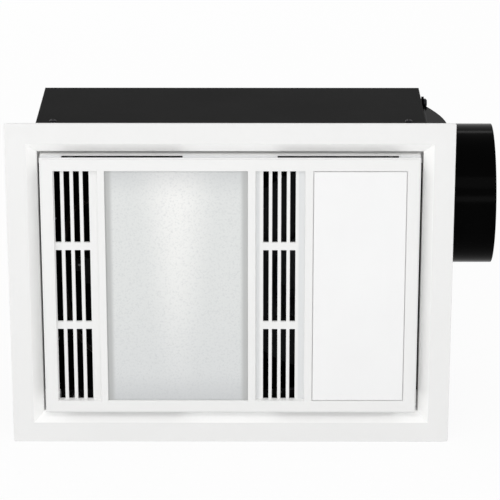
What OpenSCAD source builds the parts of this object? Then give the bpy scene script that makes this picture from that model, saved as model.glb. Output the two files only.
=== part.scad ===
// Ceiling unit for a bathroom: radiant heater, light panel and side-ducted exhaust fan.
// X runs across the fascia towards the duct, Y from the room into the ceiling, Z along the short side.
// The origin is the middle of the ceiling screws, on the ceiling's face. All lengths are in millimetres.

/* [Grille panel] */
// Width of the plain stile at each end of the panel
stile_w = 13.5; // [12:0.5:20]
// Width of the louvre field beside the left stile
louvre_left_w = 45.2; // [42:0.2:52]
// Width of the post between the left louvres and the glass
post_left_w = 7.3; // [7:0.1:12]
// Width of the heater's glass window
glass_win_w = 146.8; // [140:0.2:170]
// Width of the post between the glass and the right louvres
post_mid_w = 8; // [7:0.1:14]
// Width of the louvre field between the glass and the light
louvre_right_w = 50.8; // [46:0.2:56]
// Width of the post between the right louvres and the light
post_right_w = 8.2; // [7:0.1:12]
// Width of the light's window
led_win_w = 96.2; // [90:0.2:120]
// Height of every window in the panel
window_h = 254; // [240:1:300]
// Height of the plain rim above and below the windows
rim_h = 13.8; // [13:0.2:20]
// Depth of the panel's side walls
panel_depth = 27; // [25:0.5:34]
// Distance that the panel's face stands out of the fascia's
panel_proud = 5; // [3:0.5:7]
// Thickness of the panel's moulded walls
panel_wall = 2.5; // [2:0.1:2.8]
// Chamfer round the panel's face
panel_chamfer = 1.2; // [0.6:0.1:1.8]
// Distance that the louvre fields lie behind the panel's face
louvre_set = 5.5; // [4:0.5:6]
// Width of one slot in the left louvres
slot_left_w = 6.2; // [4:0.1:6.4]
// Pitch of the left louvres' slots
slot_left_pitch = 9.8; // [8.6:0.1:10]
// Distance from the left field's edge to its first slot
slot_left_inset = 0.8; // [0.8:0.1:2.2]
// Width of one slot in the right louvres
slot_right_w = 5.7; // [4:0.1:6.4]
// Pitch of the right louvres' slots
slot_right_pitch = 9.2; // [8.6:0.1:10]
// Distance from the right field's edge to its first slot
slot_right_inset = 7.9; // [5:0.1:9]
// Height of the bars between the louvre rows
row_bar_h = 8.4; // [6:0.2:14]
// Width of the long air slots in the panel's side walls
wall_slot_w = 7.4; // [5:0.2:8]
// Distance from the panel's face to the air slots
wall_slot_set = 4; // [3:0.2:6]
// Thickness of the walls' lip behind the air slots
slot_lip = 0.7; // [0.5:0.1:1.2]
// Length of each air slot in the top and bottom walls
wall_slot_l = 124; // [100:2:140]
// Length of the air slot in each end wall
end_slot_l = 250; // [200:2:256]

/* [Fascia] */
// Gap between the panel and the fascia's opening
panel_gap = 3.2; // [2:0.1:5]
// Width of the fascia's inner bevel
bevel_w = 10.5; // [8:0.5:14]
// Depth of the fascia's inner bevel
bevel_d = 9; // [7:0.2:9.4]
// Width of the fascia's flat border
border_w = 21.5; // [20:0.5:34]
// Distance that the fascia's face stands out of the ceiling
fascia_t = 12; // [11:0.5:16]
// Thickness of the fascia's moulded walls
fascia_wall = 2.5; // [2:0.1:3]
// Depth of the fascia's upright rim, behind which its skirt leans in
fascia_rim = 1.4; // [0.8:0.1:3]
// Distance that the fascia's outer skirt leans in
fascia_lean = 4.6; // [0:0.2:5]
// Radius of the fascia's outer corners
corner_r = 1.8; // [1:0.1:2.2]
// Thickness of the fascia's four screw lugs
lug_t = 2.8; // [2.2:0.1:3.6]
// Clear distance between the panel's back edge and the lugs
lug_clear = 1.2; // [0.8:0.1:2]

/* [Housing] */
// Thickness of the housing's steel sheet
sheet_t = 1; // [0.8:0.1:1.2]
// Gap between the fascia's inner skirt and the housing
skirt_clear = 3.5; // [2.5:0.1:6]
// Width of the housing's ceiling flange
flange_w = 15; // [12:0.5:16]
// Diameter of the ceiling screw holes
ceiling_hole_d = 5; // [4:0.1:6]
// Distance from the housing's top and bottom walls to the ceiling screws
ceiling_hole_inset = 25; // [16:1:40]
// Width of the lips behind which the back plate lies
lip_w = 12; // [8:0.5:16]
// Free space between the motor and the back plate
motor_back_gap = 10; // [6:0.5:20]
// Height of the support rails' web
rail_h = 22; // [18:0.5:24]
// Thickness of the support rails
rail_t = 1.2; // [1:0.1:1.6]
// Depth of the support rails' flange
rail_flange = 25; // [18:1:30]
// Reach of the rails' two arms behind the web
rail_arm = 72; // [68:1:90]
// Width of the rails' arms
rail_arm_w = 28; // [20:1:34]
// Distance of the rails' outer screws behind the web
rail_screw_set = 62; // [50:1:64]
// Outer diameter of the cable gland's thread
gland_d = 20; // [16:0.5:24]
// Bore of the cable gland
gland_bore = 9; // [6:0.5:11]

/* [Heater] */
// Thickness of the heater's glass
glass_t = 4; // [3:0.1:4.4]
// Thickness of the glass's gasket
gasket_t = 0.8; // [0.5:0.1:1]
// Overlap of the glass and diffuser behind their windows
glass_lap = 3.3; // [2.6:0.1:3.4]
// Depth of the reflector's trough
reflector_d = 45; // [40:0.5:46]
// Distance of the lamp from the back of the reflector's trough
lamp_back = 27.5342; // [26:0.1:30]
// Side gap between the reflector and the glass window's edge
reflector_inset = 3; // [2:0.5:8]
// Diameter of the lamp's quartz tube
lamp_d = 11; // [9:0.5:12]
// Wall of the lamp's quartz tube
lamp_wall = 1; // [0.8:0.1:1.5]
// Diameter of the lamp's ceramic caps
cap_d = 16; // [14:0.5:18]
// Length of the lamp's ceramic caps
cap_l = 22; // [18:0.5:26]
// Length of the lamp holders
holder_l = 22; // [18:0.5:26]

/* [Light] */
// Thickness of the opal diffuser
diffuser_t = 2.5; // [2:0.1:3]
// Gap between the diffuser and its window
diffuser_gap = 0.8; // [0.4:0.1:1.2]
// Thickness of the light's circuit board
board_t = 1.6; // [1:0.1:2]
// Size of one light chip
chip_w = 3.5; // [2.5:0.1:5]
// Height of one light chip
chip_t = 0.8; // [0.5:0.1:1.2]

/* [Fan] */
// Depth of the space between the rails and the scroll
plenum_d = 26; // [22:1:40]
// Diameter of the impeller
wheel_d = 140; // [130:1:144]
// Width of the impeller
wheel_w = 83; // [70:1:100]
// Radial depth of the impeller's blades
blade_d = 10; // [8:0.5:12]
// Thickness of the impeller's blades and rings
blade_t = 1.4; // [1:0.1:2]
// Number of blades
blade_n = 36; // [24:2:40]
// Gap between the impeller and the scroll's tongue
tongue_gap = 8; // [6:0.5:10]
// Growth of the scroll from the tongue to the outlet
scroll_growth = 50; // [44:1:54]
// Thickness of the scroll's moulded walls
scroll_t = 2; // [1.5:0.1:2.5]
// Height of the impeller's axis above the middle of the unit
wheel_z = -13.5; // [-20:0.5:-12]
// Distance from the impeller's axis to the housing's outlet wall
outlet_run = 99; // [96:1:104]
// Diameter of the motor's shaft
shaft_d = 8; // [6:0.5:10]
// Diameter of the motor
motor_d = 84; // [80:1:88]
// Length of the motor's laminated stator
stator_l = 20; // [16:1:26]
// Length of each end shield
shield_l = 12; // [11:0.5:14]
// Bore of the stator
stator_bore = 52; // [48:1:54]
// Gap between the rotor and the stator
air_gap = 0.4; // [0.3:0.05:0.8]
// Outer diameter of the motor's bearings
bearing_d = 22; // [20:0.5:24]
// Width of the motor's bearings
bearing_w = 7; // [6:0.5:8]
// Diameter of the scroll's pillars
pillar_d = 10; // [8:0.5:12]
// Diameter of the run capacitor
capacitor_d = 28; // [24:1:34]
// Length of the run capacitor
capacitor_l = 48; // [40:1:56]

/* [Duct adaptor] */
// Outer diameter of the round spigot
spigot_d = 148; // [144:1:152]
// Wall of the spigot
spigot_wall = 2.5; // [2:0.1:3]
// Height of the adaptor's square part before it slopes to the round one
adaptor_rim = 1; // [0.6:0.1:3]
// Lip of the adaptor's base plate round its square part
base_lip = 0.6; // [0.4:0.1:1.5]
// Length of the adaptor's slope from square to round
slope_l = 21; // [18:1:34]
// Length of the spigot's straight tube
spigot_l = 47; // [36:1:60]
// Thickness of the adaptor's base plate
plate_t = 2.5; // [2:0.1:5]
// Thickness of the foam gasket under the adaptor
foam_t = 1; // [0.8:0.1:3]
// Width of the seat that the closed flaps lie against
flap_seat = 4.5; // [3:0.5:6]
// Thickness of the flaps
flap_t = 1.5; // [1.2:0.1:2]
// Diameter of the flaps' pin
pin_d = 4; // [3:0.1:5]

/* [Wiring] */
// Width of the terminal block
terminal_w = 60; // [50:1:70]
// Height of the wiring cover
cover_d = 38; // [34:1:44]
// Diameter of the internal leads
lead_d = 5; // [4:0.5:6]

/* [Fits] */
// Radial clearance of turning pieces on their pins and shafts
run_fit = 0.04; // [0.02:0.01:0.08]
// Radial clearance of screws and fixed pins in their holes
screw_fit = 0.05; // [0.03:0.01:0.1]
// Clearance between moulded pieces that plug together
plug_fit = 0.3; // [0.2:0.05:0.5]

/* [Hidden] */
$fn = 64;

// Panel and fascia, from the middle outwards
panel_w = 2 * stile_w + louvre_left_w + post_left_w + glass_win_w + post_mid_w
    + louvre_right_w + post_right_w + led_win_w;
panel_h = window_h + 2 * rim_h;
opening_w = panel_w + 2 * panel_gap;
opening_h = panel_h + 2 * panel_gap;
fascia_w = opening_w + 2 * (bevel_w + border_w);
fascia_h = opening_h + 2 * (bevel_w + border_w);
louvre_left_x = -panel_w / 2 + stile_w;
glass_x = louvre_left_x + louvre_left_w + post_left_w;
louvre_right_x = glass_x + glass_win_w + post_mid_w;
led_x = louvre_right_x + louvre_right_w + post_right_w;
glass_mid = glass_x + glass_win_w / 2;
led_mid = led_x + led_win_w / 2;
win_z = window_h / 2;

// Depths, from the room into the ceiling
face_y = -fascia_t;
panel_y = face_y - panel_proud;
panel_in_y = panel_y + panel_wall;
panel_back_y = panel_y + panel_depth;
rail_y = panel_back_y + lug_clear + lug_t;
rail_back_y = rail_y + rail_t;
scroll_y = rail_y + plenum_d;
wheel_front_gap = 9;
wheel_back_gap = 12;
wheel_y = scroll_y + scroll_t + wheel_front_gap;
wheel_end_y = wheel_y + wheel_w;
scroll_back_y = wheel_end_y + wheel_back_gap + scroll_t;
duct_y = (scroll_y + scroll_back_y) / 2;
motor_y = scroll_back_y;
motor_end_y = motor_y + 2 * shield_l + stator_l;
screw_head_h = 2.4;
house_in_d = motor_end_y + screw_head_h + motor_back_gap;

// Housing
skirt_w = opening_w + 2 * fascia_wall;
skirt_h = opening_h + 2 * fascia_wall;
house_in_w = skirt_w + 2 * skirt_clear;
house_in_h = skirt_h + 2 * skirt_clear;
house_w = house_in_w + 2 * sheet_t;
house_h = house_in_h + 2 * sheet_t;
ceiling_x = house_w / 2 + flange_w / 2;
ceiling_z = house_h / 2 - ceiling_hole_inset;
lip_y = house_in_d - sheet_t;
wall_x = house_w / 2;

// Fan
wheel_x = house_in_w / 2 - outlet_run;
wheel_r = wheel_d / 2;
eye_r = wheel_r - blade_d;
tongue_r = wheel_r + tongue_gap;
outlet_r = tongue_r + scroll_growth;
tongue_a = 25;
scroll_sweep = 270 + tongue_a;
outlet_top = wheel_z + outlet_r;
outlet_bot = wheel_z + tongue_r * sin(tongue_a);
duct_z = (outlet_top + outlet_bot) / 2;
pillar_r = wheel_r;
diagonals = [45, 135, 225, 315];

// Duct adaptor
adaptor_w = spigot_d + 2;
plate_x = wall_x + foam_t;
plate_end_x = plate_x + plate_t;
cone_r = adaptor_w / 2 * sqrt(2) + adaptor_rim;
tube_x = plate_end_x + slope_l;
tip_x = tube_x + spigot_l;
bore_r = spigot_d / 2 - spigot_wall;
aperture_r = bore_r - flap_seat;
knuckle_r = pin_d / 2 + 2;
pin_x = plate_end_x + knuckle_r + 0.4;
flap_r = bore_r - 2.5;

// Screws: thread diameter, head diameter and length of each kind
m3_d = 3;
m3_head = 5.6;
m4_d = 4;
m4_head = 7.4;
pan_head = 9.6;
pan_head_h = 3.4;
screw_l = 8;

// Box between two corners
module block(x0, x1, y0, y1, z0, z1) {
    translate([x0, y0, z0])
        cube([x1 - x0, y1 - y0, z1 - z0]);
}

// Round bar along Y, X or Z
module bar_y(x, z, d, y0, y1) {
    translate([x, y0, z])
        rotate([-90, 0, 0])
            cylinder(d = d, h = y1 - y0);
}
module bar_x(y, z, d, x0, x1) {
    translate([x0, y, z])
        rotate([0, 90, 0])
            cylinder(d = d, h = x1 - x0);
}
module bar_z(x, y, d, z0, z1) {
    translate([x, y, z0])
        cylinder(d = d, h = z1 - z0);
}

// Plate drawn in X and Z, as seen from the room, between two depths
module plate_y(y0, y1) {
    translate([0, y1, 0])
        rotate([90, 0, 0])
            linear_extrude(y1 - y0)
                children();
}

// Plate drawn in Y and Z between two places along X
module plate_x_dir(x0, x1) {
    translate([x0, 0, 0])
        rotate([90, 0, 90])
            linear_extrude(x1 - x0)
                children();
}

// Profile drawn in X and Y between two heights
module column_z(z0, z1) {
    translate([0, 0, z0])
        linear_extrude(z1 - z0)
            children();
}

// Turned piece about an axis along Y, drawn as radius and depth
module turned_y(x, z) {
    translate([x, 0, z])
        rotate([-90, 0, 0])
            rotate_extrude($fn = 96)
                children();
}

// Centred rectangle with round corners
module round_rect(w, h, r) {
    square([w - 2 * r, h], center = true);
    square([w, h - 2 * r], center = true);
    for (sx = [-1, 1], sz = [-1, 1])
        translate([sx * (w / 2 - r), sz * (h / 2 - r)])
            circle(r = r);
}

// Screw with its head above Z = 0 and its shank below
module screw(d, head_d, head_h, len) {
    recess_w = head_d / 6;
    recess_l = head_d * 0.6;
    difference() {
        union() {
            cylinder(d = head_d, h = head_h * 0.6);
            translate([0, 0, head_h * 0.6])
                cylinder(d1 = head_d, d2 = head_d * 0.7, h = head_h * 0.4);
        }
        for (a = [0, 90])
            rotate(a)
                translate([-recess_l / 2, -recess_w / 2, head_h * 0.5])
                    cube([recess_l, recess_w, head_h]);
    }
    translate([0, 0, -len])
        cylinder(d = d, h = len);
}

// Screw whose head faces the room, lying on the depth y
module screw_to_room(x, y, z, d, head_d, len) {
    translate([x, y, z])
        rotate([90, 0, 0])
            screw(d, head_d, screw_head_h, len);
}

// Screw whose head faces the ceiling space, lying on the depth y
module screw_to_back(x, y, z, d, head_d, len) {
    translate([x, y, z])
        rotate([-90, 0, 0])
            screw(d, head_d, screw_head_h, len);
}

// Places that several pieces share
lug_x = opening_w / 2 - 13;
lug_z = opening_h / 2 - 12;
lug_screws = [for (sx = [-1, 1], sz = [-1, 1]) [sx * lug_x, sz * lug_z]];
ball_d = 6.4;
catch_d = ball_d + 2.6;
stud_z = panel_h / 2 - panel_wall - catch_d / 2 - 0.4;
stud_x = panel_w / 2 - stile_w - 16.5;
stud_places = [for (sx = [-1, 1], sz = [-1, 1]) [sx * stud_x, sz * stud_z]];
clip_z = panel_h / 2 - panel_wall - 4.3;
glass_clip_x = [glass_mid - 46, glass_mid + 46];
led_clip_x = [led_mid - 24, led_mid + 16];
reflector_tab_x = [glass_mid - 20, glass_mid + 20];
light_tab_x = [led_mid - 15, led_mid + 15];
tab_screw_z = opening_h / 2 - 6.5;
tab_end_z = opening_h / 2 - 0.5;
rail_screw_x = house_in_w / 2 - rail_arm_w / 2 - 3;
rail_screw_y = rail_y + rail_screw_set;
adaptor_screw_off = adaptor_w / 2 + 2;
terminal_x = -120;
terminal_z = 71;
driver_x = -120;
driver_z = -55;
capacitor_x = -56;
capacitor_z = 35 - house_in_h / 2;

// Where the back plate's screws go, one inset inside the lips
lip_mid = lip_w / 2;
lip_x = house_in_w / 2 - lip_mid;
lip_z = house_in_h / 2 - lip_mid;
back_screws = [for (i = [-1, 0, 1], s = [-1, 1]) [i * lip_x, s * lip_z]];
side_back_screws = [for (s = [-1, 1]) [s * lip_x, 0]];

// Steel housing

module outlet_rect(grow) {
    z0 = outlet_bot - scroll_t - grow;
    z1 = outlet_top + scroll_t + grow;
    translate([scroll_y - grow, z0])
        square([scroll_back_y - scroll_y + 2 * grow, z1 - z0]);
}

module housing_shell() {
    gland_y = house_in_d - 24;
    color("#1f1f20")
    difference() {
        union() {
            // Walls
            plate_y(-sheet_t, house_in_d)
                difference() {
                    square([house_w, house_h], center = true);
                    square([house_in_w, house_in_h], center = true);
                }
            // Lips at the back
            plate_y(lip_y, house_in_d)
                difference() {
                    square([house_w - sheet_t, house_h - sheet_t], center = true);
                    square([house_in_w - 2 * lip_w, house_in_h - 2 * lip_w], center = true);
                }
        }
        for (p = concat(back_screws, side_back_screws))
            bar_y(p[0], p[1], m3_d + 2 * screw_fit, lip_y - 1, house_in_d + 1);
        for (sx = [-1, 1], sz = [-1, 1])
            bar_z(sx * rail_screw_x, rail_screw_y, m4_d + 2 * screw_fit,
                sz > 0 ? house_in_h / 2 - 1 : -house_h / 2 - 1,
                sz > 0 ? house_h / 2 + 1 : -house_in_h / 2 + 1);
        bar_x(gland_y, terminal_z, gland_d + 2 * screw_fit, -wall_x - 1, -house_in_w / 2 + 1);
        // Room for the outlet wall
        block(house_in_w / 2, wall_x + 1, -2 * sheet_t, house_in_d + 1, -house_in_h / 2, house_in_h / 2);
    }
}

// Fourth wall, spot-welded in, with the outlet and the adaptor's screw holes
module outlet_wall() {
    color("#1f1f20")
    difference() {
        block(house_in_w / 2, wall_x, -sheet_t, house_in_d, -house_in_h / 2, house_in_h / 2);
        plate_x_dir(house_in_w / 2 - 1, wall_x + 1)
            outlet_rect(screw_fit);
        for (sy = [-1, 1], sz = [-1, 1])
            bar_x(duct_y + sy * adaptor_screw_off, duct_z + sz * adaptor_screw_off,
                m4_d + 2 * screw_fit, house_in_w / 2 - 1, wall_x + 1);
    }
}

// Flange welded round the housing's mouth, against the ceiling
module ceiling_flange() {
    color("#1f1f20")
    difference() {
        plate_y(-sheet_t, 0)
            frame_2d(house_w + 2 * flange_w, house_h + 2 * flange_w, house_w, house_h);
        for (sx = [-1, 1], sz = [-1, 1])
            bar_y(sx * ceiling_x, sz * ceiling_z, ceiling_hole_d, -2 * sheet_t, sheet_t);
    }
}

module back_plate() {
    color("#242425")
    difference() {
        plate_y(house_in_d, house_in_d + sheet_t)
            square([house_w, house_h], center = true);
        for (p = concat(back_screws, side_back_screws, plate_fixings))
            bar_y(p[0], p[1], m3_d + 2 * screw_fit, house_in_d - 1, house_in_d + 2 * sheet_t);
        for (a = diagonals)
            bar_y(wheel_x + pillar_r * cos(a), wheel_z + pillar_r * sin(a),
                m4_d + 2 * screw_fit, house_in_d - 1, house_in_d + 2 * sheet_t);
    }
}

module back_plate_screws() {
    color("#8d8f92")
    for (p = concat(back_screws, side_back_screws))
        screw_to_back(p[0], house_in_d + sheet_t, p[1], m3_d, m3_head, 4);
}

// Nylon gland through the left wall, with its nut inside
module cable_gland() {
    gland_y = house_in_d - 24;
    flange_t = 3;
    color("#2c2c2e")
    difference() {
        union() {
            bar_x(gland_y, terminal_z, gland_d, -wall_x, -house_in_w / 2 + 9);
            translate([-wall_x - flange_t, gland_y, terminal_z])
                rotate([0, 90, 0])
                    cylinder(d = gland_d + 8, h = flange_t, $fn = 6);
            bar_x(gland_y, terminal_z, gland_d + 2, -wall_x - flange_t - 10, -wall_x - flange_t);
        }
        bar_x(gland_y, terminal_z, gland_bore, -wall_x - 2 * gland_d, -house_in_w / 2 + gland_d);
    }
    color("#2c2c2e")
    difference() {
        translate([-house_in_w / 2, gland_y, terminal_z])
            rotate([0, 90, 0])
                cylinder(d = gland_d + 8, h = 5, $fn = 6);
        bar_x(gland_y, terminal_z, gland_d + 2 * screw_fit, -house_in_w / 2 - 1, -house_in_w / 2 + 6);
    }
}

// Folded rail that carries the fascia, reflector, light tray and catches; side is 1 above, -1 below
module rail(side) {
    top = house_in_h / 2;
    color("#b9bcc0")
    difference() {
        scale([1, 1, side])
            union() {
                block(-house_in_w / 2, house_in_w / 2, rail_y, rail_back_y, top - rail_h, top);
                block(-house_in_w / 2, house_in_w / 2, rail_y, rail_y + rail_flange, top - rail_t, top);
                for (sx = [-1, 1])
                    block(sx * rail_screw_x - rail_arm_w / 2, sx * rail_screw_x + rail_arm_w / 2,
                        rail_y, rail_y + rail_arm, top - rail_t, top);
            }
        for (sx = [-1, 1])
            bar_z(sx * rail_screw_x, rail_screw_y, m4_d + 2 * screw_fit,
                side * top - 2 * rail_t, side * top + 2 * rail_t);
        for (sx = [-1, 1])
            bar_y(sx * lug_x, side * lug_z, m4_d + 2 * screw_fit, rail_y - 1, rail_back_y + 1);
        for (x = concat(reflector_tab_x, light_tab_x))
            bar_y(x, side * tab_screw_z, m3_d + 2 * screw_fit, rail_y - 1, rail_back_y + 1);
        // Room for the tip of the adaptor's upper front screw
        if (side > 0)
            bar_x(duct_y - adaptor_screw_off, duct_z + adaptor_screw_off, m4_d + 2,
                house_in_w / 2 - rail_tip_room, house_in_w / 2 + 1);
    }
}
rail_tip_room = 6;
module top_rail() rail(1);
module bottom_rail() rail(-1);

module rail_screws() {
    color("#3a3a3c")
    for (sx = [-1, 1], sz = [-1, 1])
        translate([sx * rail_screw_x, rail_screw_y, sz * house_h / 2])
            rotate([sz > 0 ? 0 : 180, 0, 0])
                screw(m4_d, m4_head, screw_head_h, 5);
}

// Fascia

// Centred picture-frame outline
module frame_2d(w, h, in_w, in_h) {
    difference() {
        square([w, h], center = true);
        square([in_w, in_h], center = true);
    }
}

// One bar of the bevel along X, drawn as a profile in depth and height at the top
module bevel_bar(len, half) {
    lip = face_y + bevel_d;
    y0 = face_y;
    t = fascia_wall;
    rotate([90, 0, 90])
        translate([0, 0, -len / 2])
            linear_extrude(len)
                polygon([
                    [y0, half + bevel_w], [lip, half], [lip + t, half],
                    [lip + t, half + t], [y0 + t, half + bevel_w + t], [y0, half + bevel_w + t]
                ]);
}

// The four mitred bars of the bevel
module bevel_ring() {
    reach = fascia_w;
    for (s = [-1, 1]) {
        intersection() {
            scale([1, 1, s])
                bevel_bar(opening_w + 2 * (bevel_w + fascia_wall), opening_h / 2);
            plate_y(-reach, reach)
                polygon([
                    [-reach, s * (reach - (opening_w - opening_h) / 2)],
                    [reach, s * (reach - (opening_w - opening_h) / 2)],
                    [(opening_w - opening_h) / 2, 0], [-(opening_w - opening_h) / 2, 0]
                ]);
        }
        intersection() {
            rotate([0, 90, 0])
                scale([1, 1, s])
                    bevel_bar(opening_h + 2 * (bevel_w + fascia_wall), opening_w / 2);
            plate_y(-reach, reach)
                polygon([
                    [s * (reach + (opening_w - opening_h) / 2), reach],
                    [s * (reach + (opening_w - opening_h) / 2), -reach],
                    [s * (opening_w - opening_h) / 2, 0]
                ]);
        }
    }
}

// Block whose four sides lean in behind the fascia's rim; grow is 0 outside, minus the wall inside
module leaning_block(grow) {
    w = fascia_w / 2 + grow;
    h = fascia_h / 2 + grow;
    y0 = face_y - 1;
    y1 = face_y + fascia_rim;
    y2 = 1;
    lean = fascia_lean * (y2 - y1) / -y1;
    intersection() {
        translate([0, 0, -h - 1])
            linear_extrude(2 * h + 2)
                polygon([[-w, y0], [w, y0], [w, y1], [w - lean, y2], [lean - w, y2], [-w, y1]]);
        translate([-w - 1, 0, 0])
            rotate([90, 0, 90])
                linear_extrude(2 * w + 2)
                    polygon([[y0, -h], [y1, -h], [y2, lean - h], [y2, h - lean], [y1, h], [y0, h]]);
    }
}

module fascia_frame() {
    flat_in_w = opening_w + 2 * bevel_w;
    flat_in_h = opening_h + 2 * bevel_w;
    skirt_y = face_y + bevel_d + fascia_wall;
    lug_out_x = opening_w / 2 - lug_x;
    color("#eeeeec")
    difference() {
        union() {
            // Flat border and outer skirt
            plate_y(face_y, face_y + fascia_wall)
                difference() {
                    round_rect(fascia_w, fascia_h, corner_r);
                    square([flat_in_w, flat_in_h], center = true);
                }
            difference() {
                intersection() {
                    plate_y(face_y, 0)
                        round_rect(fascia_w, fascia_h, corner_r);
                    leaning_block(0);
                }
                leaning_block(-fascia_wall);
            }
            bevel_ring();
            // Inner skirt that plugs into the housing
            plate_y(skirt_y - fascia_wall, rail_y)
                frame_2d(skirt_w, skirt_h, opening_w, opening_h);
            // Corner lugs
            for (sx = [-1, 1], sz = [-1, 1])
                scale([sx, 1, sz])
                    block(lug_x - 4, opening_w / 2 + fascia_wall / 2, rail_y - lug_t, rail_y,
                        lug_z - 5, opening_h / 2 + fascia_wall / 2);
        }
        for (p = lug_screws)
            bar_y(p[0], p[1], m4_d + 2 * screw_fit, rail_y - 2 * lug_t, rail_y + 1);
    }
}

module fascia_screws() {
    color("#c9ccd0")
    for (p = lug_screws)
        screw_to_room(p[0], rail_y - lug_t, p[1], m4_d, m4_head, lug_t + rail_t + 3);
}

// Grille panel

// Four slots in three rows, the first with its left edge at x0
module slot_field(x0, w, pitch) {
    row_h = (window_h - 2 * row_bar_h) / 3;
    for (col = [0 : 3], row = [0 : 2])
        translate([x0 + col * pitch, -win_z + row * (row_h + row_bar_h)])
            square([w, row_h]);
}

// Sunk louvre field between two edges along X, with its slots as children
module louvre_pan(x0, w) {
    floor_y = panel_y + louvre_set;
    plate_y(floor_y, floor_y + panel_wall)
        difference() {
            translate([x0 - panel_wall, -win_z - panel_wall])
                square([w + 2 * panel_wall, window_h + 2 * panel_wall]);
            children();
        }
    plate_y(panel_y + panel_wall / 2, floor_y + panel_wall)
        difference() {
            translate([x0 - panel_wall, -win_z - panel_wall])
                square([w + 2 * panel_wall, window_h + 2 * panel_wall]);
            translate([x0, -win_z])
                square([w, window_h]);
        }
}

// Window in the panel's face, as high as every other
module window_2d(x0, w) {
    translate([x0, -win_z])
        square([w, window_h]);
}

module grille_panel() {
    boss_d = 6;
    stud_boss_d = 5.6;
    slot_y0 = panel_y + wall_slot_set;
    slot_x = 48.5;
    groove_d = 0.4;
    groove_lead = 2.4;
    lip_back = slot_y0 + wall_slot_w + 7.5;
    c = panel_chamfer;
    color("#f3f3f2")
    difference() {
        union() {
            difference() {
                // Outer block of the tray, with its face chamfered
                union() {
                    plate_y(panel_y, panel_y + c)
                        square([panel_w - 2 * c, panel_h - 2 * c], center = true);
                    plate_y(panel_y + c, panel_back_y)
                        square([panel_w, panel_h], center = true);
                }
                plate_y(panel_in_y, panel_back_y + 1)
                    square([panel_w - 2 * panel_wall, panel_h - 2 * panel_wall], center = true);
                plate_y(panel_y - 1, panel_in_y + 1) {
                    window_2d(louvre_left_x, louvre_left_w);
                    window_2d(glass_x, glass_win_w);
                    window_2d(louvre_right_x, louvre_right_w);
                    window_2d(led_x, led_win_w);
                }
            }
            louvre_pan(louvre_left_x, louvre_left_w)
                slot_field(louvre_left_x + slot_left_inset, slot_left_w, slot_left_pitch);
            louvre_pan(louvre_right_x, louvre_right_w)
                slot_field(louvre_right_x + slot_right_inset, slot_right_w, slot_right_pitch);
            // Bosses for the clips and the ball studs
            for (x = glass_clip_x, s = [-1, 1])
                bar_y(x, s * clip_z, boss_d, panel_in_y - 0.5, glass_back_y);
            for (x = led_clip_x, s = [-1, 1])
                bar_y(x, s * clip_z, boss_d, panel_in_y - 0.5, diffuser_back_y);
            for (p = stud_places)
                bar_y(p[0], p[1], stud_boss_d, panel_in_y - 0.5, stud_seat_y);
        }
        // Shallow groove round the walls, and the air slots in it
        plate_y(slot_y0 - groove_lead, slot_y0 + wall_slot_w)
            difference() {
                square([panel_w + 2, panel_h + 2], center = true);
                square([panel_w - 2 * groove_d, panel_h - 2 * groove_d], center = true);
            }
        for (s = [-1, 1], t = [-1, 1])
            scale([t, 1, s]) {
                block(slot_x, slot_x + wall_slot_l, slot_y0, slot_y0 + wall_slot_w,
                    panel_h / 2 - panel_wall * 2, panel_h / 2 + 1);
                block(slot_x, slot_x + wall_slot_l, slot_y0, lip_back,
                    panel_h / 2 - panel_wall * 2, panel_h / 2 - groove_d - slot_lip);
            }
        for (t = [-1, 1])
            block(t * panel_w / 2 - panel_wall * 2, t * panel_w / 2 + panel_wall * 2,
                slot_y0, slot_y0 + wall_slot_w, -end_slot_l / 2, end_slot_l / 2);
        for (x = glass_clip_x, s = [-1, 1])
            bar_y(x, s * clip_z, m3_d + 2 * screw_fit, panel_in_y + 0.5, glass_back_y + 1);
        for (x = led_clip_x, s = [-1, 1])
            bar_y(x, s * clip_z, m3_d + 2 * screw_fit, panel_in_y - 1, diffuser_back_y + 1);
        for (p = stud_places)
            bar_y(p[0], p[1], m3_d + 2 * screw_fit, stud_seat_y - 8, stud_seat_y + 1);
    }
}

// Depths of what the panel carries
glass_front_y = panel_in_y + gasket_t;
glass_back_y = glass_front_y + glass_t;
diffuser_back_y = panel_in_y + 2;
stud_seat_y = panel_back_y - 7;
clip_t = 1;
ball_y = panel_back_y;

module heater_glass() {
    color("#dfe1e2")
    plate_y(glass_front_y, glass_back_y)
        translate([glass_x - glass_lap, -win_z - glass_lap])
            square([glass_win_w + 2 * glass_lap, window_h + 2 * glass_lap]);
}

module glass_gasket() {
    color("#c8c8c6")
    plate_y(panel_in_y, glass_front_y)
        difference() {
            translate([glass_x - glass_lap, -win_z - glass_lap])
                square([glass_win_w + 2 * glass_lap, window_h + 2 * glass_lap]);
            translate([glass_x - 0.4, -win_z - 0.4])
                square([glass_win_w + 0.8, window_h + 0.8]);
        }
}

// Opal plate flush with the panel's face, with a rim behind it
module light_diffuser() {
    color("#fafafa")
    union() {
        plate_y(panel_y, panel_in_y)
            translate([led_x + diffuser_gap, -win_z + diffuser_gap])
                square([led_win_w - 2 * diffuser_gap, window_h - 2 * diffuser_gap]);
        plate_y(panel_in_y, diffuser_back_y)
            translate([led_x - glass_lap, -win_z - glass_lap])
                square([led_win_w + 2 * glass_lap, window_h + 2 * glass_lap]);
    }
}

// Flat clip on a boss, reaching over the edge of the glass or the diffuser
module clip(x, y, s) {
    difference() {
        scale([1, 1, s])
            block(x - 5, x + 5, y, y + clip_t, win_z + 0.5, clip_z + 3.5);
        bar_y(x, s * clip_z, m3_d + 2 * screw_fit, y - 1, y + clip_t + 1);
    }
}

module retaining_clips() {
    color("#c9ccd0")
    for (s = [-1, 1]) {
        for (x = glass_clip_x)
            clip(x, glass_back_y, s);
        for (x = led_clip_x)
            clip(x, diffuser_back_y, s);
    }
}

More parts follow.
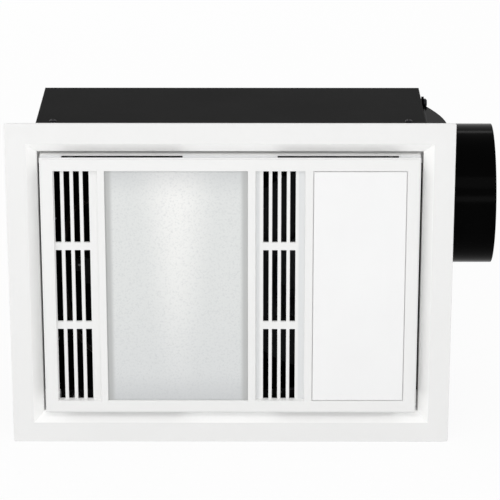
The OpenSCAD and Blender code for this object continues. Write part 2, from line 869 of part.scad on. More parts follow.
module clip_screws() {
    clip_screw_l = 3;
    color("#9a9da1")
    for (s = [-1, 1]) {
        for (x = glass_clip_x)
            screw_to_back(x, glass_back_y + clip_t, s * clip_z, m3_d, m3_head, clip_screw_l + clip_t);
        for (x = led_clip_x)
            screw_to_back(x, diffuser_back_y + clip_t, s * clip_z, m3_d, m3_head, clip_t + 1.6);
    }
}

module ball_studs() {
    color("#c9ccd0")
    for (p = stud_places) {
        bar_y(p[0], p[1], m3_d, stud_seat_y - 7.5, stud_seat_y);
        bar_y(p[0], p[1], 6, stud_seat_y, stud_seat_y + 2);
        bar_y(p[0], p[1], 3.4, stud_seat_y + 2, ball_y);
        translate([p[0], ball_y, p[1]])
            sphere(d = ball_d);
    }
}

module stud_catches() {
    color("#303033")
    for (p = stud_places)
        difference() {
            bar_y(p[0], p[1], catch_d, ball_y - 3, rail_y);
            bar_y(p[0], p[1], ball_d + 0.3, ball_y - 4, ball_y + 3.6);
        }
}

// Heater

reflector_half = glass_win_w / 2 - reflector_inset;
reflector_front_y = glass_back_y + 1.2;
reflector_back_y = reflector_front_y + reflector_d;
reflector_t = 1;
lamp_y = reflector_back_y - lamp_back;
end_z = win_z - 2;
cap_end = end_z - reflector_t - holder_l + 8;

// Points of the trough's parabola, from the left rim over the back to the right rim
function trough(back, n = 24) = [
    for (i = [0 : n])
        let (u = -1 + 2 * i / n)
            [glass_mid + u * reflector_half, back - reflector_d * pow(u, 2)]
];

module trough_solid_2d(back) {
    polygon(trough(back));
}

module reflector() {
    color("#dcdcda")
    difference() {
        union() {
            column_z(-end_z, end_z)
                intersection() {
                    difference() {
                        trough_solid_2d(reflector_back_y + reflector_t);
                        trough_solid_2d(reflector_back_y);
                    }
                    translate([glass_mid - reflector_half, reflector_front_y])
                        square([2 * reflector_half, 2 * reflector_d]);
                }
            for (s = [-1, 1])
                scale([1, 1, s]) {
                    column_z(end_z - reflector_t, end_z)
                        translate([0, 0])
                            trough_solid_2d(reflector_back_y + reflector_t / 2);
                    block(glass_mid - 30, glass_mid + 30, rail_y - reflector_t, rail_y,
                        end_z - reflector_t, tab_end_z);
                }
        }
        for (x = reflector_tab_x, s = [-1, 1])
            bar_y(x, s * tab_screw_z, m3_d + 2 * screw_fit, rail_y - 2, rail_y + 1);
        for (s = [-1, 1])
            bar_z(glass_mid, lead_hole_y, lead_d + 1, s * end_z - 2, s * end_z + 2);
    }
}
lead_hole_y = lamp_y + 19;

// Screws of the reflector's and the light tray's tabs, all alike
module rail_tab_screws() {
    color("#9a9da1")
    for (s = [-1, 1]) {
        for (x = reflector_tab_x)
            screw_to_room(x, rail_y - reflector_t, s * tab_screw_z, m3_d, m3_head, reflector_t + rail_t + 3);
        for (x = light_tab_x)
            screw_to_room(x, tray_base_y, s * tab_screw_z, m3_d, m3_head, tray_t + rail_t + 3);
    }
}

module lamp_tube() {
    len = cap_end - cap_l + 10;
    color("#f2efe6")
    difference() {
        bar_z(glass_mid, lamp_y, lamp_d, -len, len);
        bar_z(glass_mid, lamp_y, lamp_d - 2 * lamp_wall, -len - 1, len + 1);
    }
}

module lamp_filament() {
    len = cap_end - cap_l + 10;
    color("#6e6a64")
    union() {
        bar_z(glass_mid, lamp_y, 2.4, -len, len);
        for (k = [-3 : 3])
            bar_z(glass_mid, lamp_y, lamp_d - 2 * lamp_wall - 0.2, k * len / 4 - 0.4, k * len / 4 + 0.4);
    }
}

module lamp_caps() {
    color("#e8e4da")
    for (s = [-1, 1])
        scale([1, 1, s])
            difference() {
                bar_z(glass_mid, lamp_y, cap_d, cap_end - cap_l, cap_end);
                bar_z(glass_mid, lamp_y, lamp_d + 2 * screw_fit, cap_end - cap_l - 1, cap_end - cap_l + 10);
            }
}

module lamp_contacts() {
    color("#b08d4a")
    for (s = [-1, 1])
        scale([1, 1, s])
            bar_z(glass_mid, lamp_y, cap_d - 6, cap_end, cap_end + 2);
}

// Ceramic block on the reflector's end, with a socket for the lamp's cap
module lamp_holders() {
    color("#ebe7dc")
    for (s = [-1, 1])
        scale([1, 1, s])
            difference() {
                block(glass_mid - cap_d * 0.8, glass_mid + cap_d * 0.8, lamp_y - cap_d * 0.75,
                    lamp_y + cap_d * 0.75, end_z - reflector_t - holder_l, end_z - reflector_t);
                bar_z(glass_mid, lamp_y, cap_d + 2 * screw_fit,
                    end_z - reflector_t - holder_l - 1, cap_end + 2);
            }
}

module thermal_cutout() {
    x = glass_mid;
    z = 60;
    seat = reflector_back_y + reflector_t;
    color("#b9bcc0")
    union() {
        bar_y(x, z, 16, seat, seat + 7);
        block(x - 12, x + 12, seat, seat + 0.8, z - 4, z + 4);
        for (t = [-1, 1])
            block(x + t * 3.2 - 0.4, x + t * 3.2 + 0.4, seat + 7, seat + 13, z - 3, z + 3);
    }
}

// Light

tray_t = 1;
tray_inset = 1;
tray_front_y = diffuser_back_y + 1;
tray_base_y = rail_y - tray_t;

module light_tray() {
    w = led_win_w - 2 * tray_inset;
    h = window_h - 2 * tray_inset;
    color("#e4e4e2")
    difference() {
        union() {
            plate_y(tray_front_y, tray_base_y + tray_t)
                translate([led_mid, 0])
                    frame_2d(w, h, w - 2 * tray_t, h - 2 * tray_t);
            plate_y(tray_base_y, tray_base_y + tray_t)
                translate([led_mid, 0])
                    square([w, h], center = true);
            for (s = [-1, 1])
                scale([1, 1, s])
                    block(led_mid - 23, led_mid + 23, tray_base_y, tray_base_y + tray_t,
                        h / 2 - 1, tab_end_z);
        }
        for (x = light_tab_x, s = [-1, 1])
            bar_y(x, s * tab_screw_z, m3_d + 2 * screw_fit, rail_y - 2, rail_y + 1);
    }
}

module light_board() {
    color("#f0f0ee")
    plate_y(tray_base_y - board_t, tray_base_y)
        translate([led_mid, 0])
            square([led_win_w - 8, window_h - 8], center = true);
}

module light_chips() {
    cols = 4;
    rows = 11;
    color("#f4d96b")
    for (i = [0 : cols - 1], j = [0 : rows - 1])
        translate([
            led_mid + (i - (cols - 1) / 2) * led_win_w / (cols + 0.5),
            tray_base_y - board_t - chip_t,
            (j - (rows - 1) / 2) * window_h / (rows + 0.5)
        ])
            translate([-chip_w / 2, 0, -chip_w / 2])
                cube([chip_w, chip_t, chip_w]);
}

// What is screwed on the back plate from outside
driver_w = 96;
driver_ear = 8;
terminal_fix = terminal_w / 2 + 8;
plate_fixings = [
    [driver_x - driver_w / 2 - driver_ear / 2, driver_z],
    [driver_x + driver_w / 2 + driver_ear / 2, driver_z],
    [terminal_x - terminal_fix, terminal_z],
    [terminal_x + terminal_fix, terminal_z],
    [capacitor_x, capacitor_z + capacitor_d / 2 + 6]
];

module light_driver() {
    y0 = house_in_d - 22;
    half = driver_w / 2;
    color("#1e1f21")
    difference() {
        union() {
            block(driver_x - half, driver_x + half, y0, house_in_d, driver_z - 15, driver_z + 15);
            block(driver_x - half - driver_ear, driver_x + half + driver_ear,
                house_in_d - 3, house_in_d, driver_z - 7, driver_z + 7);
        }
        for (i = [0, 1])
            bar_y(plate_fixings[i][0], driver_z, m3_d + 2 * screw_fit, house_in_d - 4, house_in_d + 1);
    }
}

module fixing_screws() {
    color("#9a9da1")
    for (p = plate_fixings)
        screw_to_back(p[0], house_in_d + sheet_t, p[1], m3_d, m3_head, sheet_t + 2.4);
}

// Fan

// Spiral points from the tongue, clockwise as seen from the room, to the top of the outlet
function spiral(extra, n = 60) = [
    for (i = [0 : n])
        let (a = tongue_a - scroll_sweep * i / n, r = tongue_r + scroll_growth * i / n + extra)
            [wheel_x + r * cos(a), wheel_z + r * sin(a)]
];

// Outline of the scroll's air space, grown by its wall
module scroll_2d(extra) {
    polygon(concat([[wheel_x, wheel_z]], spiral(extra)));
    translate([wheel_x, wheel_z])
        circle(r = tongue_r + extra);
    translate([wheel_x, outlet_bot - extra])
        square([wall_x - wheel_x, outlet_top - outlet_bot + 2 * extra]);
}

// Screw bosses round the scroll
boss_angles = [0, -50, -100, -150, -200, -245];
function boss_r(a) = tongue_r + scroll_growth * (tongue_a - a) / scroll_sweep + scroll_t + 2.5;
boss_places = [
    for (a = boss_angles)
        [wheel_x + boss_r(a) * cos(a), wheel_z + boss_r(a) * sin(a)]
];
scroll_boss_d = 8;

module scroll_body() {
    color("#2b2c2e")
    difference() {
        union() {
            plate_y(scroll_y + scroll_t, scroll_back_y)
                difference() {
                    scroll_2d(scroll_t);
                    scroll_2d(0);
                }
            plate_y(scroll_back_y - scroll_t, scroll_back_y)
                scroll_2d(scroll_t);
            for (p = boss_places)
                bar_y(p[0], p[1], scroll_boss_d, scroll_y + scroll_t, scroll_y + 14);
        }
        // The air space runs out through the wall's plane
        plate_y(scroll_y + scroll_t, scroll_back_y - scroll_t)
            scroll_2d(0);
        bar_y(wheel_x, wheel_z, bearing_d + 8, scroll_back_y - 2 * scroll_t, scroll_back_y + 1);
        for (p = boss_places)
            bar_y(p[0], p[1], m3_d + 2 * screw_fit, scroll_y, scroll_y + 11);
        for (a = diagonals)
            bar_y(wheel_x + pillar_r * cos(a), wheel_z + pillar_r * sin(a),
                m4_d + 2 * screw_fit, scroll_back_y - 2 * scroll_t, scroll_back_y + 1);
        for (a = [0, 90, 180, 270])
            bar_y(wheel_x + tie_r * cos(a), wheel_z + tie_r * sin(a),
                m3_d + 2 * screw_fit, scroll_back_y - 2 * scroll_t, scroll_back_y + 1);
    }
}

module scroll_cover() {
    lip_r = wheel_front_gap + 1;
    mouth_r = eye_r - 1.4;
    color("#2b2c2e")
    union() {
        difference() {
            plate_y(scroll_y, scroll_y + scroll_t)
                union() {
                    scroll_2d(scroll_t);
                    for (p = boss_places)
                        translate(p)
                            circle(d = scroll_boss_d);
                }
            bar_y(wheel_x, wheel_z, 2 * (mouth_r + lip_r) - scroll_t, scroll_y - 1, scroll_y + 2 * scroll_t);
            for (p = boss_places)
                bar_y(p[0], p[1], m3_d + 2 * screw_fit, scroll_y - 1, scroll_y + scroll_t + 1);
        }
        // Bellmouth, rolled into the wheel's eye
        turned_y(wheel_x, wheel_z)
            intersection() {
                translate([mouth_r + lip_r, scroll_y + lip_r])
                    difference() {
                        circle(r = lip_r);
                        circle(r = lip_r - scroll_t);
                    }
                translate([mouth_r - 1, scroll_y])
                    square([lip_r + 1, lip_r]);
            }
    }
}

cover_screw_l = 9;
// Screws of the scroll's cover, and those at both ends of its pillars
module scroll_screws() {
    color("#9a9da1")
    for (p = boss_places)
        screw_to_room(p[0], scroll_y, p[1], m3_d, m3_head, cover_screw_l);
    color("#9a9da1")
    for (a = diagonals) {
        x = wheel_x + pillar_r * cos(a);
        z = wheel_z + pillar_r * sin(a);
        screw_to_room(x, scroll_back_y - scroll_t, z, m4_d, m4_head, scroll_t + screw_l);
        screw_to_back(x, house_in_d + sheet_t, z, m4_d, m4_head, sheet_t + screw_l);
    }
}

module scroll_pillars() {
    color("#b9bcc0")
    for (a = diagonals)
        difference() {
            bar_y(wheel_x + pillar_r * cos(a), wheel_z + pillar_r * sin(a), pillar_d,
                scroll_back_y, house_in_d);
            bar_y(wheel_x + pillar_r * cos(a), wheel_z + pillar_r * sin(a),
                m4_d + 2 * screw_fit, scroll_back_y - 1, scroll_back_y + screw_l + 1);
            bar_y(wheel_x + pillar_r * cos(a), wheel_z + pillar_r * sin(a),
                m4_d + 2 * screw_fit, house_in_d - screw_l - 1, house_in_d + 1);
        }
}

// The blades end just inside the rim of the disc and the ring, which hold them
blade_tip = 0.5;
// One forward-curved blade, leaning in the direction of rotation
function blade_edge(side, n = 6) = [
    for (i = [0 : n])
        let (
            t = i / n,
            r = eye_r + (blade_d - blade_tip) * t,
            a = -9 * pow(t, 1.6) + side * blade_t / 2 / r * 180 / PI
        )
            [r * cos(a), r * sin(a)]
];
function backwards(list) = [for (i = [len(list) - 1 : -1 : 0]) list[i]];

disc_t = 2;
hub_l = 18;
hub_y = wheel_end_y - hub_l;

module impeller() {
    ring_w = 3;
    color("#3a3d41")
    difference() {
        union() {
            plate_y(wheel_y + blade_tip, wheel_end_y - blade_tip)
                translate([wheel_x, wheel_z])
                    for (i = [0 : blade_n - 1])
                        rotate(i * 360 / blade_n)
                            polygon(concat(blade_edge(1), backwards(blade_edge(-1))));
            bar_y(wheel_x, wheel_z, wheel_d, wheel_end_y - disc_t, wheel_end_y);
            difference() {
                bar_y(wheel_x, wheel_z, wheel_d, wheel_y, wheel_y + ring_w);
                bar_y(wheel_x, wheel_z, wheel_d - 4 * blade_t, wheel_y - 1, wheel_y + ring_w + 1);
            }
            bar_y(wheel_x, wheel_z, shaft_d + 16, hub_y, wheel_end_y);
        }
        bar_y(wheel_x, wheel_z, shaft_d + 2 * screw_fit, hub_y - 1, wheel_end_y + 1);
    }
}

module impeller_nut() {
    nut_h = 6;
    color("#b08d4a")
    difference() {
        translate([wheel_x, hub_y - nut_h, wheel_z])
            rotate([-90, 0, 0])
                cylinder(d = shaft_d * 1.9, h = nut_h, $fn = 6);
        bar_y(wheel_x, wheel_z, shaft_d + 2 * screw_fit, hub_y - nut_h - 1, hub_y + 1);
    }
}

// Motor

tie_r = motor_d / 2 - 5;
shield_wall = 3;
shaft_end_y = motor_end_y - shield_wall;
rotor_r = stator_bore / 2 - air_gap;

module motor_shaft() {
    color("#c9ccd0")
    bar_y(wheel_x, wheel_z, shaft_d, hub_y - 9, shaft_end_y - 0.6);
}

module motor_rotor() {
    y0 = motor_y + shield_l + 1;
    color("#7d7f83")
    difference() {
        bar_y(wheel_x, wheel_z, 2 * rotor_r, y0, y0 + stator_l - 2);
        bar_y(wheel_x, wheel_z, shaft_d + 2 * screw_fit, y0 - 1, y0 + stator_l);
    }
}

module tie_holes(d, y0, y1) {
    for (a = [0, 90, 180, 270])
        bar_y(wheel_x + tie_r * cos(a), wheel_z + tie_r * sin(a), d, y0, y1);
}

module motor_stator() {
    y0 = motor_y + shield_l;
    color("#8a8c90")
    difference() {
        bar_y(wheel_x, wheel_z, motor_d, y0, y0 + stator_l);
        bar_y(wheel_x, wheel_z, stator_bore, y0 - 1, y0 + stator_l + 1);
        tie_holes(m3_d + 2 * screw_fit, y0 - 1, y0 + stator_l + 1);
    }
}

module motor_windings() {
    end_l = 6;
    color("#a8562c")
    for (y0 = [motor_y + shield_l - end_l, motor_y + shield_l + stator_l])
        difference() {
            bar_y(wheel_x, wheel_z, 2 * tie_r - 10, y0, y0 + end_l);
            bar_y(wheel_x, wheel_z, stator_bore + 1, y0 - 1, y0 + end_l + 1);
        }
}

// Cup-shaped end shield from its outer face at y0, opening in the direction dir
module shield(y0, dir) {
    color("#b4b7bb")
    translate([wheel_x, y0, wheel_z])
        rotate([dir > 0 ? -90 : 90, 0, 0])
            difference() {
                union() {
                    difference() {
                        cylinder(d = motor_d, h = shield_l);
                        translate([0, 0, shield_wall])
                            cylinder(d = 2 * tie_r - 8, h = shield_l);
                    }
                    cylinder(d = bearing_d + 6, h = shield_wall + bearing_w - 1);
                }
                translate([0, 0, shield_wall - 1])
                    cylinder(d = bearing_d + 2 * screw_fit, h = shield_l);
                translate([0, 0, -1])
                    cylinder(d = shaft_d + 4, h = shield_l);
                for (a = [0, 90, 180, 270])
                    rotate(a)
                        translate([tie_r, 0, -1])
                            cylinder(d = m3_d + 2 * screw_fit, h = shield_l + 2);
            }
}
module front_shield() shield(motor_y, 1);
module rear_shield() shield(motor_end_y, -1);

module motor_bearings() {
    color("#d5d7da")
    for (y0 = [motor_y + shield_wall - 1, motor_end_y - shield_wall + 1 - bearing_w])
        difference() {
            bar_y(wheel_x, wheel_z, bearing_d, y0, y0 + bearing_w);
            bar_y(wheel_x, wheel_z, shaft_d + 2 * run_fit, y0 - 1, y0 + bearing_w + 1);
        }
}

// Long screws from the motor's rear through the scroll's back
module tie_screws() {
    color("#9a9da1")
    for (a = [0, 90, 180, 270])
        screw_to_back(wheel_x + tie_r * cos(a), motor_end_y, wheel_z + tie_r * sin(a),
            m3_d, m3_head, motor_end_y - scroll_back_y + scroll_t);
}

module run_capacitor() {
    y = house_in_d - capacitor_d / 2 - 1;
    color("#242426")
    union() {
        bar_x(y, capacitor_z, capacitor_d, capacitor_x - capacitor_l / 2, capacitor_x + capacitor_l / 2);
        for (s = [-1, 1])
            block(capacitor_x - capacitor_l / 2 - 6, capacitor_x - capacitor_l / 2,
                y - 3, y + 3, capacitor_z + s * 6 - 0.4, capacitor_z + s * 6 + 0.4);
    }
}

module capacitor_clip() {
    y = house_in_d - capacitor_d / 2 - 1;
    ring_d = capacitor_d + 2 * screw_fit;
    tab_z = capacitor_z + capacitor_d / 2 + 6;
    color("#b9bcc0")
    difference() {
        union() {
            intersection() {
                bar_x(y, capacitor_z, ring_d + 2, capacitor_x - 6, capacitor_x + 6);
                block(capacitor_x - 6, capacitor_x + 6, 0, house_in_d,
                    capacitor_z - capacitor_d, capacitor_z + capacitor_d);
            }
            block(capacitor_x - 6, capacitor_x + 6, house_in_d - 3, house_in_d, capacitor_z, tab_z + 5);
        }
        bar_x(y, capacitor_z, ring_d, capacitor_x - 7, capacitor_x + 7);
        bar_y(capacitor_x, tab_z, m3_d + 2 * screw_fit, house_in_d - 4, house_in_d + 1);
    }
}

// Duct adaptor

module duct_gasket() {
    color("#3c3c3e")
    plate_x_dir(wall_x, plate_x)
        difference() {
            translate([duct_y - adaptor_w / 2, duct_z - adaptor_w / 2])
                square(adaptor_w);
            outlet_rect(screw_fit);
        }
}

// Square base with four round ears
module adaptor_base_2d() {
    ear_d = 14;
    difference() {
        union() {
            square(adaptor_w + 2 * base_lip, center = true);
            for (sy = [-1, 1], sz = [-1, 1])
                translate([sy * adaptor_screw_off, sz * adaptor_screw_off])
                    circle(d = ear_d);
        }
        circle(r = aperture_r);
        for (sy = [-1, 1], sz = [-1, 1])
            translate([sy * adaptor_screw_off, sz * adaptor_screw_off])
                circle(d = m4_d + 2 * screw_fit);
    }
}

// Solid of the square part, its slope and the spigot, narrowed by the wall for the inside
module square_to_round(inset, end_x) {
    r0 = cone_r - inset * sqrt(2);
    r1 = spigot_d / 2 - inset;
    half = adaptor_w / 2 - inset;
    len = end_x - plate_end_x;
    intersection() {
        translate([plate_end_x, duct_y, duct_z])
            rotate([0, 90, 0])
                rotate_extrude()
                    polygon([[0, 0], [r0, 0], [r1, slope_l], [r1, len], [0, len]]);
        block(plate_x, end_x + 1, duct_y - half, duct_y + half, duct_z - half, duct_z + half);
    }
}

module duct_adaptor() {
    boss_d = pin_d + 4;
    boss_l = 2.2;
    color("#1a1a1b")
    difference() {
        union() {
            translate([plate_x, duct_y, duct_z])
                rotate([90, 0, 90])
                    linear_extrude(plate_t)
                        adaptor_base_2d();
            difference() {
                square_to_round(0, tip_x);
                square_to_round(spigot_wall, tip_x + 1);
            }
            for (s = [-1, 1])
                bar_y(pin_x, duct_z, boss_d,
                    duct_y + (s > 0 ? adaptor_w / 2 - spigot_wall - boss_l : -adaptor_w / 2 + 0.5),
                    duct_y + (s > 0 ? adaptor_w / 2 - 0.5 : -adaptor_w / 2 + spigot_wall + boss_l));
        }
        pin_reach = pin_half + screw_fit;
        bar_y(pin_x, duct_z, pin_d + 2 * screw_fit, duct_y - pin_reach, duct_y + pin_reach);
        // Room for the screws' heads at the corners
        for (sy = [-1, 1], sz = [-1, 1])
            bar_x(duct_y + sy * adaptor_screw_off, duct_z + sz * adaptor_screw_off,
                pan_head + 2 * plug_fit, plate_end_x, plate_end_x + 2 * pan_head_h);
    }
}
pin_half = adaptor_w / 2 - 1.2;

module adaptor_screws() {
    color("#141415")
    for (sy = [-1, 1], sz = [-1, 1])
        translate([plate_end_x, duct_y + sy * adaptor_screw_off, duct_z + sz * adaptor_screw_off])
            rotate([0, 90, 0])
                screw(m4_d, pan_head, pan_head_h, plate_t + foam_t + sheet_t + 4);
}

// Backdraft flaps

knuckle_w = 9;
knuckle_y = 34;

// Half-moon flap above the pin; own says which knuckle pair it has, the other pair is notched out
module half_flap(own, other) {
    plate_off = knuckle_r;
    difference() {
        union() {
            plate_x_dir(pin_x - plate_off, pin_x - plate_off + flap_t)
                intersection() {
                    translate([duct_y, duct_z])
                        circle(r = flap_r);
                    translate([duct_y - flap_r, duct_z + 0.3])
                        square([2 * flap_r, flap_r]);
                }
            for (s = own)
                bar_y(pin_x, duct_z, 2 * knuckle_r, duct_y + s - knuckle_w / 2, duct_y + s + knuckle_w / 2);
            for (y = [-22, 22])
                block(pin_x - plate_off, pin_x - plate_off + flap_t + 1.2,
                    duct_y + y - 1, duct_y + y + 1, duct_z + 12, duct_z + flap_r - 10);
        }
        for (s = other)
            block(pin_x - 2 * knuckle_r, pin_x + 2 * knuckle_r,
                duct_y + s - knuckle_w / 2 - 0.6, duct_y + s + knuckle_w / 2 + 0.6,
                duct_z - 1, duct_z + knuckle_r + 0.8);
        // Notch round the spring's turns
        block(pin_x - 2 * knuckle_r, pin_x + 2 * knuckle_r, duct_y - spring_room, duct_y + spring_room,
            duct_z - 1, duct_z + knuckle_r + 0.8);
        bar_y(pin_x, duct_z, pin_d + 2 * run_fit, duct_y - flap_r - 1, duct_y + flap_r + 1);
    }
}
upper_knuckles = [-knuckle_y - 10, knuckle_y];
lower_knuckles = [-knuckle_y, knuckle_y + 10];

module upper_flap() {
    color("#262628")
    half_flap(upper_knuckles, lower_knuckles);
}

module lower_flap() {
    color("#262628")
    translate([0, 0, duct_z])
        mirror([0, 0, 1])
            translate([0, 0, -duct_z])
                half_flap(lower_knuckles, upper_knuckles);
}

module flap_pin() {
    color("#c9ccd0")
    bar_y(pin_x, duct_z, pin_d, duct_y - pin_half, duct_y + pin_half);
}

// Torsion spring round the pin: a helix swept with a small round section
spring_turns = 5;
spring_pitch = 1.6;
spring_wire = 0.8;
spring_r = pin_d / 2 + 0.9;
spring_rings = 8;
spring_room = spring_turns * spring_pitch / 2 + 2 * spring_wire;
function spring_point(t) = [
    pin_x + spring_r * cos(t * 360),
    duct_y + (t - spring_turns / 2) * spring_pitch,
    duct_z + spring_r * sin(t * 360)
];
spring_path = [for (i = [0 : spring_turns * spring_rings]) spring_point(i / spring_rings)];
spring_gap = min([
    for (i = [0 : len(spring_path) - 1], j = [0 : len(spring_path) - 1])
        if (abs(i - j) >= spring_rings - 1)
            norm(spring_path[i] - spring_path[j]) - spring_wire
]);
echo(least_gap_of_the_spring = spring_gap);

// Tube along a list of points, each ring square to the path
function unit(v) = v / norm(v);
function heading(path, i) = unit(path[min(i + 1, len(path) - 1)] - path[max(i - 1, 0)]);
function side_of(d, up) = unit(cross(d, up));
module tube_along(path, r, sides, up) {
    n = len(path);
    rings = [
        for (i = [0 : n - 1])
            let (d = heading(path, i), u = side_of(d, up), v = cross(u, d))
                for (k = [0 : sides - 1])
                    path[i] + r * (cos(k * 360 / sides) * u + sin(k * 360 / sides) * v)
    ];
    walls = [
        for (i = [0 : n - 2], k = [0 : sides - 1])
            let (a = i * sides + k, b = i * sides + (k + 1) % sides)
                each [[a, b + sides, b], [a, a + sides, b + sides]]
    ];
    first = [for (k = [1 : sides - 2]) [0, k, k + 1]];
    last = [for (k = [1 : sides - 2]) [(n - 1) * sides, (n - 1) * sides + k + 1, (n - 1) * sides + k]];
    polyhedron(points = rings, faces = concat(walls, first, last), convexity = 6);
}

module flap_spring() {
    color("#d5d7da")
    tube_along(spring_path, spring_wire / 2, 6, [0, 1, 0]);
}

// Wiring

module terminal_block() {
    y0 = house_in_d - 22;
    ways = 5;
    way_w = terminal_w / ways;
    color("#e8e6df")
    difference() {
        block(terminal_x - terminal_w / 2, terminal_x + terminal_w / 2, y0, house_in_d,
            terminal_z - 10, terminal_z + 10);
        for (i = [0 : ways - 1], s = [-1, 1])
            bar_y(terminal_x - terminal_w / 2 + (i + 0.5) * way_w, terminal_z + s * 5, 5, y0 - 1, y0 + 6);
        for (i = [0 : ways - 1])
            bar_z(terminal_x - terminal_w / 2 + (i + 0.5) * way_w, y0 + 12, 5,
                terminal_z - 11, terminal_z + 11);
        for (i = [1 : ways - 1]) {
            x = terminal_x - terminal_w / 2 + i * way_w;
            block(x - 0.6, x + 0.6, y0 - 1, y0 + 8, terminal_z - 11, terminal_z + 11);
        }
    }
}

// Folded steel lid over the terminals
cover_half_h = 24;
cover_half_w = terminal_fix + 6;
module wiring_cover() {
    y0 = house_in_d - cover_d;
    color("#1f1f20")
    difference() {
        union() {
            plate_y(y0, house_in_d - 8)
                translate([terminal_x, terminal_z])
                    frame_2d(2 * cover_half_w, 2 * cover_half_h,
                        2 * (cover_half_w - sheet_t), 2 * (cover_half_h - sheet_t));
            plate_y(y0, y0 + sheet_t)
                translate([terminal_x, terminal_z])
                    square([2 * cover_half_w, 2 * cover_half_h], center = true);
            for (s = [-1, 1]) {
                x0 = terminal_x + s * (cover_half_w - 6);
                block(x0 - 6, x0 + 6, y0, house_in_d, terminal_z - 6, terminal_z + 6);
            }
        }
        for (s = [-1, 1])
            bar_y(terminal_x + s * terminal_fix, terminal_z, m3_d + 2 * screw_fit,
                house_in_d - 4, house_in_d + 1);
    }
}

// Rounded route through hand-chosen points
function catmull(p, i, t) =
    let (
        a = p[max(i - 1, 0)], b = p[i], c = p[i + 1], d = p[min(i + 2, len(p) - 1)]
    )
        0.5 * (2 * b + (c - a) * t + (2 * a - 5 * b + 4 * c - d) * t * t
            + (3 * b - a - 3 * c + d) * t * t * t);
function smooth_route(p, steps) = concat(
    [for (i = [0 : len(p) - 2], k = [0 : steps - 1]) catmull(p, i, k / steps)],
    [p[len(p) - 1]]
);

module fan_lead() {
    color("#1c1c1e")
    tube_along(smooth_route([
        [wheel_x - motor_d / 2, motor_y + shield_l + 5, wheel_z],
        [wheel_x - motor_d / 2 - 20, motor_y + shield_l + 5, wheel_z],
        [0, 178, 20],
        [-30, 180, 60],
        [terminal_x + cover_half_w + 14, 180, terminal_z + 12],
        [terminal_x + cover_half_w, 180, terminal_z + 12]
    ], 5), lead_d / 2, 8, [0, 0.2, 1]);
}

module lamp_leads() {
    hold_y = lamp_y + cap_d * 0.75;
    color("#3a332c")
    union() {
        tube_along(smooth_route([
            [glass_mid, hold_y, end_z - 12],
            [glass_mid, hold_y + 4, end_z - 11],
            [glass_mid, lead_hole_y, end_z - 5],
            [glass_mid, lead_hole_y, end_z + 2],
            [glass_mid, lead_hole_y + 10, end_z + 11],
            [glass_mid - 12, 60, end_z + 13],
            [glass_mid - 40, 120, end_z + 10],
            [terminal_x, 170, end_z - 4],
            [terminal_x, 178, terminal_z + cover_half_h + 10],
            [terminal_x, 180, terminal_z + cover_half_h]
        ], 5), lead_d / 2, 8, [1, 0.1, 0]);
        tube_along(smooth_route([
            [glass_mid, hold_y, -end_z + 12],
            [glass_mid, hold_y + 4, -end_z + 11],
            [glass_mid, lead_hole_y, -end_z + 5],
            [glass_mid, lead_hole_y, -end_z - 2],
            [glass_mid, lead_hole_y + 10, -end_z - 10],
            [glass_mid - 20, 60, -end_z - 11],
            [-160, 120, -end_z + 6],
            [-186, 160, -60],
            [-180, 176, 10],
            [terminal_x - 30, 180, terminal_z - cover_half_h - 12],
            [terminal_x - 30, 180, terminal_z - cover_half_h]
        ], 5), lead_d / 2, 8, [1, 0.1, 0]);
    }
}

module light_lead() {
    color("#1c1c1e")
    tube_along(smooth_route([
        [driver_x + driver_w / 2, house_in_d - 11, driver_z + 8],
        [driver_x + driver_w / 2 + 14, house_in_d - 11, driver_z + 8],
        [-34, 176, -80],
        [-30, 120, -126],
        [-26, 60, -138],
        [20, 34, -138],
        [70, 27, -132],
        [led_mid - 30, 26, -122],
        [led_mid - 28, rail_y + 5, -114],
        [led_mid - 28, rail_y, -114]
    ], 5), lead_d / 2, 8, [0.1, 0.1, 1]);
}

housing_shell();
outlet_wall();
ceiling_flange();
back_plate();
back_plate_screws();
cable_gland();
top_rail();
bottom_rail();
rail_screws();
fascia_frame();
fascia_screws();
grille_panel();
heater_glass();
glass_gasket();
light_diffuser();
retaining_clips();
clip_screws();
ball_studs();
stud_catches();
reflector();
rail_tab_screws();
lamp_tube();
lamp_filament();
lamp_caps();
lamp_contacts();
lamp_holders();
thermal_cutout();
light_tray();
light_board();
light_chips();
light_driver();
fixing_screws();
scroll_body();
scroll_cover();
scroll_screws();
scroll_pillars();
impeller();
impeller_nut();
motor_shaft();
motor_rotor();
motor_stator();
motor_windings();
front_shield();
rear_shield();
motor_bearings();
tie_screws();
run_capacitor();
capacitor_clip();
duct_gasket();
duct_adaptor();
adaptor_screws();
upper_flap();
lower_flap();
flap_pin();
flap_spring();
terminal_block();
wiring_cover();
fan_lead();
lamp_leads();
light_lead();
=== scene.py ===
import math
import random

import bmesh
import bpy
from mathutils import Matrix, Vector


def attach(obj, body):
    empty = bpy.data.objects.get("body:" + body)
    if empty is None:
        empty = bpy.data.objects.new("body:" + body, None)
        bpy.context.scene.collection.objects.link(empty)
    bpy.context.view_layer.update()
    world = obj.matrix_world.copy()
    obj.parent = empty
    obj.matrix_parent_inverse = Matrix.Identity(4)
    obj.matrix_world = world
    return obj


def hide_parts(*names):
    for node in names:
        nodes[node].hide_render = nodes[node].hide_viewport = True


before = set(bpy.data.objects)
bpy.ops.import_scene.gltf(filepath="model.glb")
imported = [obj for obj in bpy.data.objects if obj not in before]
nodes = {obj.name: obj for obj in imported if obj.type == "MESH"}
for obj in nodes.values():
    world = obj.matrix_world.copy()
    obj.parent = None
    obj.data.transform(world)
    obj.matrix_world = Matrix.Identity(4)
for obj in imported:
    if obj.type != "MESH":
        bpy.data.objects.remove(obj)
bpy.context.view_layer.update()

MM = 0.001

# Sizes and places of the part, repeated from its source in metres. The board's column and row are the
# pitch of the light chips, and WHEEL is the x and z of the impeller's axis.

